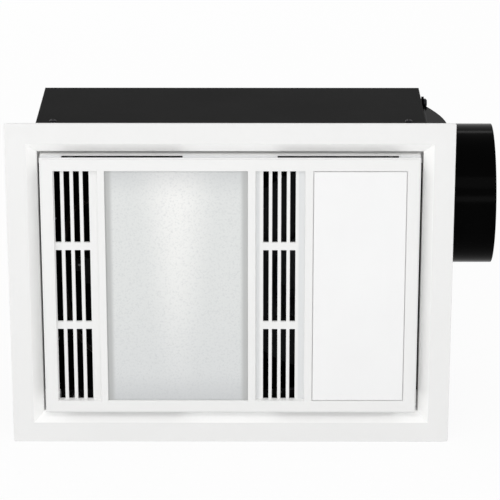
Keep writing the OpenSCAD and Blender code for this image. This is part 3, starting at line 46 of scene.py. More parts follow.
GLASS_MID = -0.05535
GLASS_W = 0.1468
WINDOW_H = 0.254
LIGHT_MID = 0.13315
LIGHT_W = 0.0962
BOARD_COLUMN = LIGHT_W / 4.5
BOARD_ROW = WINDOW_H / 11.5
BOARD_TRACK_Z = 0.0055
LAMP_Y = 0.008966
LAMP_HALF = 0.098
WHEEL = (0.10495, -0.0135)
MOTOR_Y = 0.148
SHIELD_L = 0.012
STATOR_L = 0.020
WINDING_IN_R = 0.0265
WINDING_OUT_R = 0.032
WINDING_L = 0.006
FLAP_PIN = (0.21285, 0.094, 0.0669821)
LEAD_R = 0.0025

# Painted shade: black on the reflector and the light tray from here to their ends, up and down

REFLECTOR_TAB_Z = 0.1275
TRAY_TAB_Z = 0.1305

# The groove round the panel's walls, and the floor of its right louvre field with the plain margins
# on both sides of the slots

GROOVE_FRONT = -0.0154
GROOVE_BACK = -0.0056
GROOVE_FLOOR_Z = 0.1397
GROOVE_RIM_Z = 0.1406
LOUVRE_FLOOR = -0.0115
FLOOR_LEEWAY = 0.0008
PAN_LEFT = 0.0265
MARGIN_LEFT = 0.031
MARGIN_RIGHT = 0.0695
PAN_RIGHT = 0.0769


def linear(shade):
    """One channel from 0 to 255, as it looks on a screen, to the number that a shader takes."""
    c = shade / 255
    return c / 12.92 if c <= 0.04045 else ((c + 0.055) / 1.055) ** 2.4


def tone(red, green=None, blue=None):
    """Colour from its looks on a screen. One number makes a grey."""
    if green is None:
        green = blue = red
    return (linear(red), linear(green), linear(blue), 1.0)


# Shader writing

class Wire:
    """An output in a node tree. + - * / and ** on it add Math nodes."""

    def __init__(self, shading, socket):
        self.shading = shading
        self.socket = socket

    def math(self, operation, other, mirrored=False):
        first, second = (other, self) if mirrored else (self, other)
        made = self.shading.node("ShaderNodeMath", {"operation": operation}, {0: first, 1: second})
        return self.shading.wire(made)

    def __add__(self, other):
        return self.math("ADD", other)

    def __radd__(self, other):
        return self.math("ADD", other, True)

    def __sub__(self, other):
        return self.math("SUBTRACT", other)

    def __rsub__(self, other):
        return self.math("SUBTRACT", other, True)

    def __mul__(self, other):
        return self.math("MULTIPLY", other)

    def __rmul__(self, other):
        return self.math("MULTIPLY", other, True)

    def __truediv__(self, other):
        return self.math("DIVIDE", other)

    def __rtruediv__(self, other):
        return self.math("DIVIDE", other, True)

    def __pow__(self, other):
        return self.math("POWER", other)

    def __rpow__(self, other):
        return self.math("POWER", other, True)

    def __neg__(self):
        return self * -1

    def __abs__(self):
        return self.math("ABSOLUTE", 0)

    def least(self, other):
        return self.math("MINIMUM", other)

    def most(self, other):
        return self.math("MAXIMUM", other)

    def above(self, other):
        return self.math("GREATER_THAN", other)

    def cycle(self, length):
        """Remainder from 0 to length, also below zero."""
        return self.math("FLOORED_MODULO", length)

    def wave(self):
        return self.math("SINE", 0)

    def fade(self, start, end):
        """0 before start, 1 after end, smooth between."""
        made = self.shading.node(
            "ShaderNodeMapRange", {"interpolation_type": "SMOOTHSTEP"},
            {"Value": self, "From Min": start, "From Max": end, "To Min": 0.0, "To Max": 1.0})
        return self.shading.wire(made)


class Shading:
    """A node tree, written as expressions on its wires."""

    def __init__(self, tree):
        self.tree = tree
        self.tree.nodes.clear()

    def node(self, kind, settings, sockets):
        """Adds a node: its settings first, then the values or wires of its sockets."""
        made = self.tree.nodes.new(kind)
        for name, value in settings.items():
            setattr(made, name, value)
        for name, value in sockets.items():
            if isinstance(value, Wire):
                self.tree.links.new(value.socket, made.inputs[name])
            else:
                made.inputs[name].default_value = value
        return made

    def wire(self, made, name=0):
        return Wire(self, made.outputs[name])

    def looked_at(self):
        """1 where the camera, a gloss or a glass looks, 0 for the light that falls on the object."""
        path = self.node("ShaderNodeLightPath", {}, {})
        seen = self.wire(path, "Is Camera Ray").most(self.wire(path, "Is Glossy Ray"))
        return seen.most(self.wire(path, "Is Transmission Ray"))


class Finish(Shading):
    """A procedural material of the object."""

    def __init__(self, name):
        self.material = bpy.data.materials.new(name)
        self.material.use_nodes = True
        super().__init__(self.material.node_tree)
        self.spot = self.wire(self.node("ShaderNodeTexCoord", {}, {}), "Object")

    # Places on the surface, in metres of the shared frame

    def axes(self):
        made = self.node("ShaderNodeSeparateXYZ", {}, {0: self.spot})
        return [self.wire(made, i) for i in range(3)]

    def stretched(self, x, y, z):
        """The place with each axis scaled, for grain that runs along one of them."""
        return self.wire(self.node(
            "ShaderNodeVectorMath", {"operation": "MULTIPLY"}, {0: self.spot, 1: (x, y, z)}))

    # Patterns, each from 0 to 1. A size is in metres.

    def cloud(self, size, detail=2.0, roughness=0.5, spot=None):
        return self.wire(self.node(
            "ShaderNodeTexNoise", {"noise_dimensions": "3D"},
            {"Vector": spot or self.spot, "Scale": 1 / size, "Detail": detail, "Roughness": roughness}))

    def cells(self, size):
        made = self.node(
            "ShaderNodeTexVoronoi", {"voronoi_dimensions": "3D"},
            {"Vector": self.spot, "Scale": 1 / size})
        return self.wire(made, "Distance")

    def lines(self, along, pitch):
        """Soft parallel lines across an axis, from 0 to 1."""
        return (along * (2 * math.pi / pitch)).wave() * 0.5 + 0.5

    # Colours

    def blend(self, first, second, share):
        made = self.node(
            "ShaderNodeMix", {"data_type": "RGBA", "clamp_factor": True},
            {0: share, 6: first, 7: second})
        return self.wire(made, 2)

    # Edges and relief

    def edges(self, radius):
        """1 on sharp edges, 0 on flat faces."""
        rounded = self.wire(self.node("ShaderNodeBevel", {"samples": 4}, {"Radius": radius}))
        flat = self.wire(self.node("ShaderNodeNewGeometry", {}, {}), "Normal")
        made = self.node("ShaderNodeVectorMath", {"operation": "DOT_PRODUCT"}, {0: rounded, 1: flat})
        return (1 - self.wire(made, "Value")).fade(0.01, 0.2)

    def facing_room(self):
        """1 on faces square to Y, 0 on faces along it."""
        normal = self.wire(self.node("ShaderNodeNewGeometry", {}, {}), "Normal")
        return abs(self.wire(self.node("ShaderNodeSeparateXYZ", {}, {0: normal}), 1))

    def painted_shade_ends(self, colour, start):
        """Painted shade: black on the tabs at both ends, so that the air slots in front of them look
        dark.
        """
        z = self.axes()[2]
        return self.blend(colour, tone(12), abs(z).fade(start, start + 0.0005))

    def soft_edge(self, radius):
        return self.wire(self.node("ShaderNodeBevel", {"samples": 4}, {"Radius": radius}))

    def relief(self, height, depth, strength=1.0, under=None):
        """Normal of a surface raised by height (0 to 1) times a depth in metres."""
        sockets = {"Height": height, "Distance": depth, "Strength": strength}
        if under is not None:
            sockets["Normal"] = under
        return self.wire(self.node("ShaderNodeBump", {}, sockets))

    # Shaders

    def surface(self, **looks):
        """The main shader. Words are its sockets' names with _ for a space."""
        named = {key.replace("_", " "): value for key, value in looks.items()}
        return self.node("ShaderNodeBsdfPrincipled", {}, named)

    def finish(self, shader):
        self.node("ShaderNodeOutputMaterial", {}, {"Surface": self.wire(shader)})
        return self.material


# Finishes

def white_moulding(name, base, roughness, panel=False):
    """Satin white plastic from a fine-grained mould, with painted highlights on its edges and flanks.
    The panel also has a groove and painted shade in it and on its margins.
    """
    f = Finish(name)
    mottle = f.cloud(0.06, 3.0, 0.55)
    grain = f.cloud(0.0009, 2.0, 0.6)
    edge = f.edges(0.0012)
    low = tone(base - 2.5, base - 2.5, base - 3.5)
    high = tone(base + 1.5, base + 1.5, base + 1)
    body = f.blend(low, high, mottle)
    # Painted light: the flanks that lean away from the room are painted paler than the grained face
    face = f.facing_room().fade(0.86, 0.97)
    body = f.blend(tone(251, 251, 250), body, face)
    if panel:
        x, y, z = f.axes()
        # Painted shade: the floor of the groove round the walls is a little greyer
        groove_shade = abs(z).above(GROOVE_FLOOR_Z) * (GROOVE_RIM_Z - abs(z)).above(0)
        groove_shade = groove_shade * y.above(GROOVE_FRONT) * (GROOVE_BACK - y).above(0)
        body = f.blend(body, tone(238, 239, 240), groove_shade)
        # Painted shade: the plain margins of the right louvre field are darker, as in the shade of its
        # walls
        floor = face * (FLOOR_LEEWAY - abs(y - LOUVRE_FLOOR)).above(0)
        margin_shade = (1 - x.fade(MARGIN_LEFT - 0.0015, MARGIN_LEFT)) * x.above(PAN_LEFT)
        margin_shade = margin_shade + x.fade(MARGIN_RIGHT, MARGIN_RIGHT + 0.002) * (PAN_RIGHT - x).above(0)
        body = f.blend(body, tone(219, 221, 222), floor * margin_shade * 0.8)
    # Painted highlight: sharp edges are a little paler
    colour = f.blend(body, tone(base + 5), edge * 0.6)
    return f.finish(f.surface(
        Base_Color=colour,
        Roughness=roughness + (mottle - 0.5) * 0.08 + (grain - 0.5) * 0.05,
        IOR=1.46, Specular_IOR_Level=0.15,
        Normal=f.relief(grain, 0.00006, 0.25, f.soft_edge(0.0007))))


def opal(name):
    """Milky light panel with the faint ribs of its prisms."""
    f = Finish(name)
    x, _, z = f.axes()
    prisms = f.lines(x, 0.0022) * f.lines(z, 0.0022)
    haze = f.cloud(0.09, 2.0, 0.5)
    colour = f.blend(tone(238), tone(243), haze)
    return f.finish(f.surface(
        Base_Color=colour, Roughness=0.32 + (haze - 0.5) * 0.06, IOR=1.49, Specular_IOR_Level=0.3,
        Subsurface_Weight=0.12, Subsurface_Radius=(0.004, 0.004, 0.004),
        Normal=f.relief(prisms, 0.00003, 0.2, f.soft_edge(0.0006))))


def powder_coat(name, base, spread):
    """Black powder coat on sheet steel: fine orange peel, edges rubbed a little lighter."""
    f = Finish(name)
    peel = f.cloud(0.0016, 2.0, 0.5)
    speck = f.cloud(0.0004, 1.0, 0.5)
    smear = f.cloud(0.11, 3.0, 0.6)
    edge = f.edges(0.0009)
    body = f.blend(tone(base), tone(base + spread), smear)
    colour = f.blend(body, tone(base + 52), edge * (0.25 + speck * 0.35))
    return f.finish(f.surface(
        Base_Color=colour, Roughness=0.58 + (smear - 0.5) * 0.16 + (speck - 0.5) * 0.1,
        IOR=1.45, Specular_IOR_Level=0.02,
        Normal=f.relief(peel, 0.00018, 0.35, f.soft_edge(0.0005))))


def gloss_black(name, base, roughness, level):
    """Injection-moulded black plastic with a faint flow and fine scratches."""
    f = Finish(name)
    flow = f.cloud(0.05, 3.0, 0.6)
    scratch = f.cloud(0.0015, 3.0, 0.6, f.stretched(0.08, 1, 1))
    edge = f.edges(0.0009)
    colour = f.blend(f.blend(tone(base), tone(base + 4), flow), tone(base + 30), edge * 0.3)
    return f.finish(f.surface(
        Base_Color=colour, Roughness=roughness + (flow - 0.5) * 0.08 + (scratch - 0.5) * 0.1,
        IOR=1.48, Specular_IOR_Level=level,
        Normal=f.relief(scratch, 0.00002, 0.2, f.soft_edge(0.0006))))


def moulding(name, base, roughness=0.5, grain_size=0.0012, grain_depth=0.00008, level=0.4, tabs=None):
    """Matt engineering plastic with a grained skin. Past tabs, up and down, it is black as painted
    shade.
    """
    f = Finish(name)
    flow = f.cloud(0.04, 3.0, 0.6)
    grain = f.cloud(grain_size, 2.0, 0.6)
    edge = f.edges(0.0008)
    dark = tuple(c * 0.86 for c in base[:3]) + (1.0,)
    light = tuple(min(1.0, c * 1.18 + 0.008) for c in base[:3]) + (1.0,)
    worn = tuple(min(1.0, c * 1.5 + 0.04) for c in base[:3]) + (1.0,)
    colour = f.blend(f.blend(dark, light, flow), worn, edge * 0.5)
    if tabs:
        colour = f.painted_shade_ends(colour, tabs)
    return f.finish(f.surface(
        Base_Color=colour, Roughness=roughness + (flow - 0.5) * 0.12 + (grain - 0.5) * 0.08,
        IOR=1.5, Specular_IOR_Level=level,
        Normal=f.relief(grain, grain_depth, 0.5, f.soft_edge(0.0004))))


def metal(name, base, roughness, grain_size=0.0006, stretch=(1, 1, 1), stain=None):
    """Bare or plated metal: fine marks, long ones where it was drawn, and uneven plating."""
    f = Finish(name)
    marks = f.cloud(grain_size, 3.0, 0.65, f.stretched(*stretch))
    patch = f.cloud(0.012, 3.0, 0.6)
    edge = f.edges(0.0005)
    dark = tuple(c * 0.72 for c in base[:3]) + (1.0,)
    bright = tuple(min(1.0, c * 1.22) for c in base[:3]) + (1.0,)
    body = f.blend(dark, base, marks.fade(0.25, 0.7))
    body = f.blend(body, stain or dark, patch.fade(0.5, 0.8) * 0.5)
    colour = f.blend(body, bright, edge * 0.7)
    return f.finish(f.surface(
        Base_Color=colour, Metallic=1.0,
        Roughness=roughness + (marks - 0.5) * 0.22 + (patch - 0.5) * 0.1,
        Normal=f.relief(marks, 0.00002, 0.5, f.soft_edge(0.0003))))


def turned_metal(name, base, roughness, centre, ring_pitch):
    """Turned steel: fine rings about an axis along Y through centre (x, z)."""
    f = Finish(name)
    x, y, z = f.axes()
    across = x - centre[0]
    up = z - centre[1]
    radius = (across * across + up * up) ** 0.5
    rings = f.lines(radius + y * 0.31, ring_pitch)
    patch = f.cloud(0.01, 3.0, 0.6)
    dark = tuple(c * 0.7 for c in base[:3]) + (1.0,)
    colour = f.blend(f.blend(dark, base, rings * 0.5 + 0.5), dark, patch.fade(0.55, 0.85) * 0.4)
    return f.finish(f.surface(
        Base_Color=colour, Metallic=1.0, Roughness=roughness + rings * 0.08 + (patch - 0.5) * 0.1,
        Normal=f.relief(rings, 0.00001, 0.4, f.soft_edge(0.0003))))


def cast(name, base):
    """Die-cast aluminium: sandy skin with paler machined edges."""
    f = Finish(name)
    sand = f.cloud(0.0011, 3.0, 0.65)
    cool = f.cloud(0.02, 3.0, 0.6)
    edge = f.edges(0.0009)
    dark = tuple(c * 0.75 for c in base[:3]) + (1.0,)
    colour = f.blend(f.blend(dark, base, cool), tone(214, 215, 216), edge * 0.7)
    return f.finish(f.surface(
        Base_Color=colour, Metallic=0.95, Roughness=0.5 + (sand - 0.5) * 0.3,
        Normal=f.relief(sand, 0.00012, 0.5, f.soft_edge(0.0005))))


def laminations(name, base):
    """Stack of punched steel sheets, seen on edge along Y."""
    f = Finish(name)
    sheets = f.lines(f.axes()[1], 0.0005)
    patch = f.cloud(0.006, 3.0, 0.6)
    body = f.blend(tone(58, 60, 64), base, sheets.fade(0.15, 0.6))
    colour = f.blend(body, tone(96, 72, 52), patch.fade(0.58, 0.8) * 0.45)
    return f.finish(f.surface(
        Base_Color=colour, Metallic=0.9, Roughness=0.42 + patch * 0.15,
        Normal=f.relief(sheets, 0.00006, 0.6)))


def steatite(name):
    """Unglazed technical ceramic: chalky, speckled and slightly pitted."""
    f = Finish(name)
    pits = f.cells(0.0016)
    speck = f.cloud(0.0009, 2.0, 0.7)
    warm = f.cloud(0.02, 2.0, 0.5)
    edge = f.edges(0.0007)
    body = f.blend(tone(222, 215, 200), tone(238, 233, 222), warm)
    body = f.blend(body, tone(176, 164, 142), speck.fade(0.62, 0.75) * 0.5)
    colour = f.blend(body, tone(248, 245, 238), edge * 0.5)
    return f.finish(f.surface(
        Base_Color=colour, Roughness=0.68 + (speck - 0.5) * 0.2, Specular_IOR_Level=0.35,
        Normal=f.relief(pits.fade(0.0, 0.5), 0.0001, 0.4, f.soft_edge(0.0006))))


def rubbery(name, base, cell, depth):
    """Foam or silicone skin with closed cells."""
    f = Finish(name)
    cells = f.cells(cell)
    dust = f.cloud(0.015, 3.0, 0.6)
    light = tuple(min(1.0, c * 1.5 + 0.01) for c in base[:3]) + (1.0,)
    colour = f.blend(base, light, cells.fade(0.2, 0.8) * 0.6 + dust * 0.2)
    return f.finish(f.surface(
        Base_Color=colour, Roughness=0.86 + (dust - 0.5) * 0.12, Specular_IOR_Level=0.25,
        Normal=f.relief(cells, depth, 0.6)))


def frosted_glass(name):
    """Sand-blasted toughened glass with painted light and shade: a bright upright streak for the trough
    behind it, darker edges.
    """
    f = Finish(name)
    x, _, z = f.axes()
    grit = f.cloud(0.0022, 2.0, 0.75)
    haze = f.cloud(0.05, 2.0, 0.5)
    across = (x - GLASS_MID) / (GLASS_W / 2)
    up = z / (WINDOW_H / 2)
    # Painted light: a soft bright upright streak down the middle
    streak = (1 - abs(across) / (0.5 + up * 0.2)).most(0.0).fade(0.0, 1.0)
    streak = streak * (up * 0.5 + 0.62).most(0.0)
    # Painted shade: darker towards the sides, the ends and the foot
    side = abs(across).fade(0.88, 0.955)
    end = abs(up).fade(0.72, 1.05)
    foot = (-up).fade(-0.1, 1.1)
    shade = f.blend(tone(231, 233, 232), tone(251, 251, 249), streak.least(1.0))
    shade = f.blend(shade, tone(220, 222, 224), foot * 0.5)
    shade = f.blend(shade, tone(198, 200, 202), end * 0.55)
    shade = f.blend(shade, tone(188, 189, 188), side * 0.8)
    colour = f.blend(shade, tone(196, 199, 201), grit.fade(0.45, 0.75) * 0.35)
    return f.finish(f.surface(
        Base_Color=colour, Roughness=0.5 + (grit - 0.5) * 0.15 + (haze - 0.5) * 0.05,
        IOR=1.5, Specular_IOR_Level=0.3, Transmission_Weight=0.12,
        Normal=f.relief(grit, 0.00006, 0.35, f.soft_edge(0.0004))))


def quartz(name):
    """Clear fused quartz with faint draw lines."""
    f = Finish(name)
    draw = f.cloud(0.003, 2.0, 0.5, f.stretched(1, 1, 0.06))
    return f.finish(f.surface(
        Base_Color=f.blend(tone(246, 244, 240), tone(252), draw),
        Roughness=0.06 + draw * 0.06, IOR=1.46, Transmission_Weight=0.9,
        Normal=f.relief(draw, 0.00003, 0.3)))


def bright_aluminium(name):
    """Rolled reflector sheet: fine brushing along the trough and shallow dimples."""
    f = Finish(name)
    brush = f.cloud(0.0007, 3.0, 0.6, f.stretched(1, 1, 0.03))
    dimple = f.cells(0.006)
    patch = f.cloud(0.05, 2.0, 0.5)
    colour = f.blend(tone(226, 227, 228), tone(243, 243, 242), brush)
    colour = f.blend(colour, tone(214, 212, 206), patch.fade(0.6, 0.9) * 0.4)
    # Painted shade: black on the end tabs, so that the air slots in front of them look dark
    return f.finish(f.surface(
        Base_Color=f.painted_shade_ends(colour, REFLECTOR_TAB_Z), Metallic=1.0,
        Roughness=0.2 + (brush - 0.5) * 0.16 + patch * 0.05,
        Normal=f.relief(dimple, 0.00015, 0.35, f.relief(brush, 0.00002, 0.4))))


def circuit_board(name):
    """White solder mask with raised copper tracks between the chips."""
    f = Finish(name)
    x, _, z = f.axes()
    from_track = abs((z - BOARD_TRACK_Z).cycle(BOARD_ROW) - BOARD_ROW / 2)
    from_feed = abs((x - LIGHT_MID + 0.5 * BOARD_COLUMN).cycle(BOARD_COLUMN) - BOARD_COLUMN / 2)
    copper = 1 - from_track.fade(0.0012, 0.002).least(from_feed.fade(0.001, 0.0018))
    weave = f.lines(x, 0.0012) * f.lines(z, 0.0012)
    colour = f.blend(tone(236, 237, 234), tone(222, 224, 216), copper * 0.7)
    return f.finish(f.surface(
        Base_Color=f.blend(colour, tone(228, 230, 226), weave * 0.3),
        Roughness=0.36 + weave * 0.08, IOR=1.5, Specular_IOR_Level=0.5,
        Normal=f.relief(copper, 0.00012, 0.6, f.relief(weave, 0.00002, 0.4))))


def phosphor(name):
    """Yellow phosphor dome in a pale package, repeated on every chip."""
    f = Finish(name)
    x, _, z = f.axes()
    across = (x - LIGHT_MID + 2 * BOARD_COLUMN).cycle(BOARD_COLUMN) - BOARD_COLUMN / 2
    up = (z + 5.5 * BOARD_ROW).cycle(BOARD_ROW) - BOARD_ROW / 2
    rim = ((across * across + up * up) ** 0.5).fade(0.0011, 0.0014)
    grain = f.cloud(0.0003, 2.0, 0.6)
    gel = f.blend(tone(238, 205, 84), tone(248, 222, 120), grain)
    return f.finish(f.surface(
        Base_Color=f.blend(gel, tone(236, 234, 226), rim), Roughness=0.3 + rim * 0.25,
        Normal=f.relief(1 - rim, 0.0002, 0.5)))


def braided(name, base, pitch):
    """Woven glass-fibre sleeve: crossing strands seen in the height of the surface."""
    f = Finish(name)
    x, y, z = f.axes()
    one = f.lines(x + y + z, pitch)
    other = f.lines(x - y + z, pitch * 1.07)
    weave = one * other
    fuzz = f.cloud(0.0006, 2.0, 0.7)
    dark = tuple(c * 0.7 for c in base[:3]) + (1.0,)
    return f.finish(f.surface(
        Base_Color=f.blend(dark, base, weave * 0.7 + fuzz * 0.3), Roughness=0.8 + (fuzz - 0.5) * 0.2,
        Specular_IOR_Level=0.25, Sheen_Weight=0.2,
        Normal=f.relief(weave, 0.0002, 0.7)))


def enamelled_copper(name):
    """Varnished winding wire, darker where the varnish pooled."""
    f = Finish(name)
    pool = f.cloud(0.005, 3.0, 0.6)
    fine = f.cloud(0.0005, 2.0, 0.6)
    colour = f.blend(tone(112, 44, 18), tone(206, 116, 62), pool.fade(0.25, 0.75))
    return f.finish(f.surface(
        Base_Color=colour, Metallic=0.75, Roughness=0.28 + fine * 0.14, Coat_Weight=0.5 + pool * 0.2,
        Coat_Roughness=0.12, Normal=f.relief(fine, 0.00003, 0.4)))


# The finish of each piece that model.glb brings

frame_white = white_moulding("fascia_white", 235, 0.45)
panel_white = white_moulding("panel_white", 236, 0.4, panel=True)
black_coat = powder_coat("housing_black", 14, 11)
adaptor_black = gloss_black("adaptor_black", 1, 0.13, 0.014)
zinc = metal("zinc_plate", tone(196, 200, 206), 0.34, stain=tone(176, 170, 140))
black_zinc = metal("black_zinc", tone(40, 40, 43), 0.45)
spring_steel = metal("spring_steel", tone(188, 190, 194), 0.26, 0.0008, (1, 1, 0.1))
brass = metal("brass", tone(214, 180, 112), 0.3, stain=tone(150, 112, 64))
black_nylon = moulding("black_nylon", tone(34, 34, 36), 0.5)
scroll_black = moulding("scroll_black", tone(24, 24, 26), 0.6, 0.0014, 0.00008, 0.12)
wheel_grey = moulding("wheel_grey", tone(84, 87, 90), 0.46, 0.001)
cream_nylon = moulding("cream_nylon", tone(234, 230, 216), 0.45)
case_black = moulding("case_black", tone(30, 31, 33), 0.42)
can_black = moulding("can_black", tone(36, 36, 38), 0.3, 0.002, 0.00004)
# The light tray carries painted shade: black on its end tabs
tray_white = moulding("tray_white", tone(238, 238, 235), 0.38, 0.0016, 0.00005, tabs=TRAY_TAB_Z)
ceramic = steatite("steatite")
stator_steel = laminations("stator_steel", tone(150, 153, 158))
rotor_steel = laminations("rotor_steel", tone(164, 167, 171))
die_cast = cast("die_cast", tone(176, 178, 181))
shaft_steel = turned_metal("shaft_steel", tone(206, 208, 211), 0.2, WHEEL, 0.0004)
bearing_steel = turned_metal("bearing_steel", tone(212, 214, 217), 0.18, WHEEL, 0.0009)
copper_wire = enamelled_copper("copper_wire")
black_sheath = moulding("black_sheath", tone(26, 26, 28), 0.4, 0.0008, 0.00003)
fibre_sleeve = braided("fibre_sleeve", tone(58, 50, 44), 0.0016)
tungsten = metal("tungsten", tone(122, 118, 112), 0.4)

FINISHES = {
    "housing_shell": black_coat, "outlet_wall": black_coat, "ceiling_flange": black_coat,
    "back_plate": black_coat, "back_plate_screws": zinc, "cable_gland": black_nylon,
    "top_rail": black_coat, "bottom_rail": black_coat, "rail_screws": black_zinc,
    "fascia_frame": frame_white, "fascia_screws": zinc,
    "grille_panel": panel_white, "heater_glass": frosted_glass("frosted_glass"),
    "glass_gasket": rubbery("silicone", tone(206, 206, 202), 0.002, 0.00003),
    "light_diffuser": opal("opal"), "retaining_clips": spring_steel, "clip_screws": zinc,
    "ball_studs": zinc, "stud_catches": black_nylon,
    "reflector": bright_aluminium("reflector_sheet"), "rail_tab_screws": zinc,
    "lamp_tube": quartz("quartz"), "lamp_filament": tungsten, "lamp_caps": ceramic,
    "lamp_contacts": brass, "lamp_holders": ceramic, "thermal_cutout": spring_steel,
    "light_tray": tray_white, "light_board": circuit_board("solder_mask"),
    "light_chips": phosphor("phosphor"), "light_driver": case_black, "fixing_screws": zinc,
    "scroll_body": scroll_black, "scroll_cover": scroll_black, "scroll_screws": zinc,
    "scroll_pillars": zinc,
    "impeller": wheel_grey, "impeller_nut": brass, "motor_shaft": shaft_steel,
    "motor_rotor": rotor_steel, "motor_stator": stator_steel, "motor_windings": copper_wire,
    "front_shield": die_cast, "rear_shield": die_cast, "motor_bearings": bearing_steel,
    "tie_screws": zinc, "run_capacitor": can_black, "capacitor_clip": spring_steel,
    "duct_gasket": rubbery("foam", tone(46), 0.0018, 0.0002),
    "duct_adaptor": adaptor_black, "adaptor_screws": black_zinc,
    "upper_flap": scroll_black, "lower_flap": scroll_black, "flap_pin": shaft_steel,
    "flap_spring": spring_steel,
    "terminal_block": cream_nylon, "wiring_cover": black_coat,
    "fan_lead": black_sheath, "lamp_leads": fibre_sleeve, "light_lead": black_sheath,
}
for name, finish in FINISHES.items():
    piece = nodes[name]
    piece.data.materials.clear()
    piece.data.materials.append(finish)
assert set(FINISHES) == set(nodes), sorted(set(nodes) ^ set(FINISHES))


# Pieces bent or wound from wire and cable

ALONG_Y = Vector((0, 1, 0))
ALONG_Z = Vector((0, 0, 1))
CREASE = math.radians(40)


def smooth_run(chosen, steps):
    """Points of a smooth line through chosen places, which are in millimetres."""
    last = len(chosen) - 1
    p = [Vector(place) * MM for place in chosen]
    run = []
    for i in range(last):
        a, b, c, d = p[max(i - 1, 0)], p[i], p[i + 1], p[min(i + 2, last)]
        for k in range(steps):
            t = k / steps
            run.append(0.5 * (2 * b + (c - a) * t + (2 * a - 5 * b + 4 * c - d) * t * t
                              + (3 * b - a - 3 * c + d) * t ** 3))
    run.append(p[last])
    return run


def drawn_bar(path, radius, sides=12, closed=False, up=None):
    """Points and faces of a bar along a path. A list of radii tapers it, up keeps it from turning."""
    count = len(path)
    radii = radius if isinstance(radius, list) else [radius] * count
    points = []
    side = None
    for i, here in enumerate(path):
        after = path[(i + 1) % count] if closed else path[min(i + 1, count - 1)]
        before = path[i - 1] if closed else path[max(i - 1, 0)]
        ahead = (after - before).normalized()
        if up is not None:
            side = ahead.cross(up).normalized()
        elif side is None:
            side = ahead.orthogonal().normalized()
        else:
            side = (side - ahead * side.dot(ahead)).normalized()
        other = ahead.cross(side)
        for k in range(sides):
            turn = 2 * math.pi * k / sides
            points.append(here + radii[i] * (math.cos(turn) * side + math.sin(turn) * other))
    faces = []
    for i in range(count if closed else count - 1):
        a, b = i * sides, (i + 1) % count * sides
        for k in range(sides):
            m = (k + 1) % sides
            faces.append((a + k, a + m, b + m, b + k))
    if not closed:
        faces.append(tuple(reversed(range(sides))))
        faces.append(tuple(range((count - 1) * sides, count * sides)))
    return points, faces


def make(name, parts, finish, body, stands_for=()):
    """One piece from lists of points and faces."""
    points, faces = [], []
    for some_points, some_faces in parts:
        start = len(points)
        points += some_points
        faces += [tuple(start + i for i in face) for face in some_faces]
    mesh = bpy.data.meshes.new(name)
    mesh.from_pydata(points, [], faces)
    shape = bmesh.new()
    shape.from_mesh(mesh)
    bmesh.ops.recalc_face_normals(shape, faces=shape.faces)
    shape.to_mesh(mesh)
    shape.free()
    mesh.shade_smooth()
    mesh.set_sharp_from_angle(angle=CREASE)
    mesh.materials.append(finish)
    made = bpy.data.objects.new(name, mesh)
    bpy.context.scene.collection.objects.link(made)
    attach(made, body)
    if stands_for:
        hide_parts(*stands_for)


def boot(path, count, thick):
    """Tapered sleeve over the first points of a lead, with rings that let it bend."""
    radii = []
    for i in range(count):
        share = i / (count - 1)
        ring = BOOT_RING if i % 2 and share < 0.85 else 0.0
        radii.append(thick + (BOOT_TIP_R - thick) * share - ring)
    return drawn_bar(path[:count], radii, LEAD_SIDES)


# Leads: the same routes as in the part's source

LEAD_STEPS = 14
LEAD_SIDES = 20
BOOT_TIP_R = 0.0027
BOOT_RING = 0.0003
MOTOR_BOOT_R = 0.0042
MOTOR_BOOT_STEPS = 12
LIGHT_BOOT_R = 0.0038
LIGHT_BOOT_STEPS = 9
motor_run = smooth_run([
    (62.95, 165, -13.5), (42.95, 165, -13.5), (0, 178, 20), (-30, 180, 60), (-62, 180, 83),
    (-76, 180, 83)], LEAD_STEPS)
lamp_run_top = smooth_run([
    (-55.35, 20.966, 113), (-55.35, 24.966, 114), (-55.35, 27.966, 120), (-55.35, 27.966, 127),
    (-55.35, 37.966, 136), (-67.35, 60, 138), (-95.35, 120, 135), (-120, 170, 121), (-120, 178, 105),
    (-120, 180, 95)], LEAD_STEPS)
lamp_run_bottom = smooth_run([
    (-55.35, 20.966, -113), (-55.35, 24.966, -114), (-55.35, 27.966, -120), (-55.35, 27.966, -127),
    (-55.35, 37.966, -135), (-75.35, 60, -136), (-160, 120, -119), (-186, 160, -60), (-180, 176, 10),
    (-150, 180, 35), (-150, 180, 47)], LEAD_STEPS)
light_run = smooth_run([
    (-72, 193.4, -47), (-58, 193.4, -47), (-34, 176, -80), (-30, 120, -126), (-26, 60, -138),
    (20, 34, -138), (70, 27, -132), (103.15, 26, -122), (105.15, 19, -114), (105.15, 14, -114)],
    LEAD_STEPS)
make("motor_lead", [drawn_bar(motor_run, LEAD_R, LEAD_SIDES)],
     black_sheath, "housing", ("fan_lead",))
make("motor_lead_boot", [boot(motor_run, MOTOR_BOOT_STEPS, MOTOR_BOOT_R)],
     black_nylon, "housing")
make("lamp_sleeves", [drawn_bar(run, LEAD_R, LEAD_SIDES) for run in (lamp_run_top, lamp_run_bottom)],
     fibre_sleeve, "housing", ("lamp_leads",))
make("light_cable", [drawn_bar(light_run, LEAD_R, LEAD_SIDES)],
     black_sheath, "housing", ("light_lead",))
make("light_cable_boot", [boot(light_run, LIGHT_BOOT_STEPS, LIGHT_BOOT_R)],
     black_nylon, "housing")

# Flap spring: five turns of drawn wire round the pin

SPRING_TURNS = 5
SPRING_PITCH = 0.0016
SPRING_R = 0.0029
SPRING_WIRE_R = 0.0004
SPRING_STEPS = 40
spring_path = []
for i in range(SPRING_TURNS * SPRING_STEPS + 1):
    turns = i / SPRING_STEPS
    angle = 2 * math.pi * turns
    spring_path.append(Vector(FLAP_PIN) + Vector((
        SPRING_R * math.cos(angle), (turns - SPRING_TURNS / 2) * SPRING_PITCH,
        SPRING_R * math.sin(angle))))
make("flap_coil", [drawn_bar(spring_path, SPRING_WIRE_R, up=ALONG_Y)],
     spring_steel, "housing", ("flap_spring",))

# Heater filament: one fine coil along the lamp, held centred by loops that widen to the tube's wall

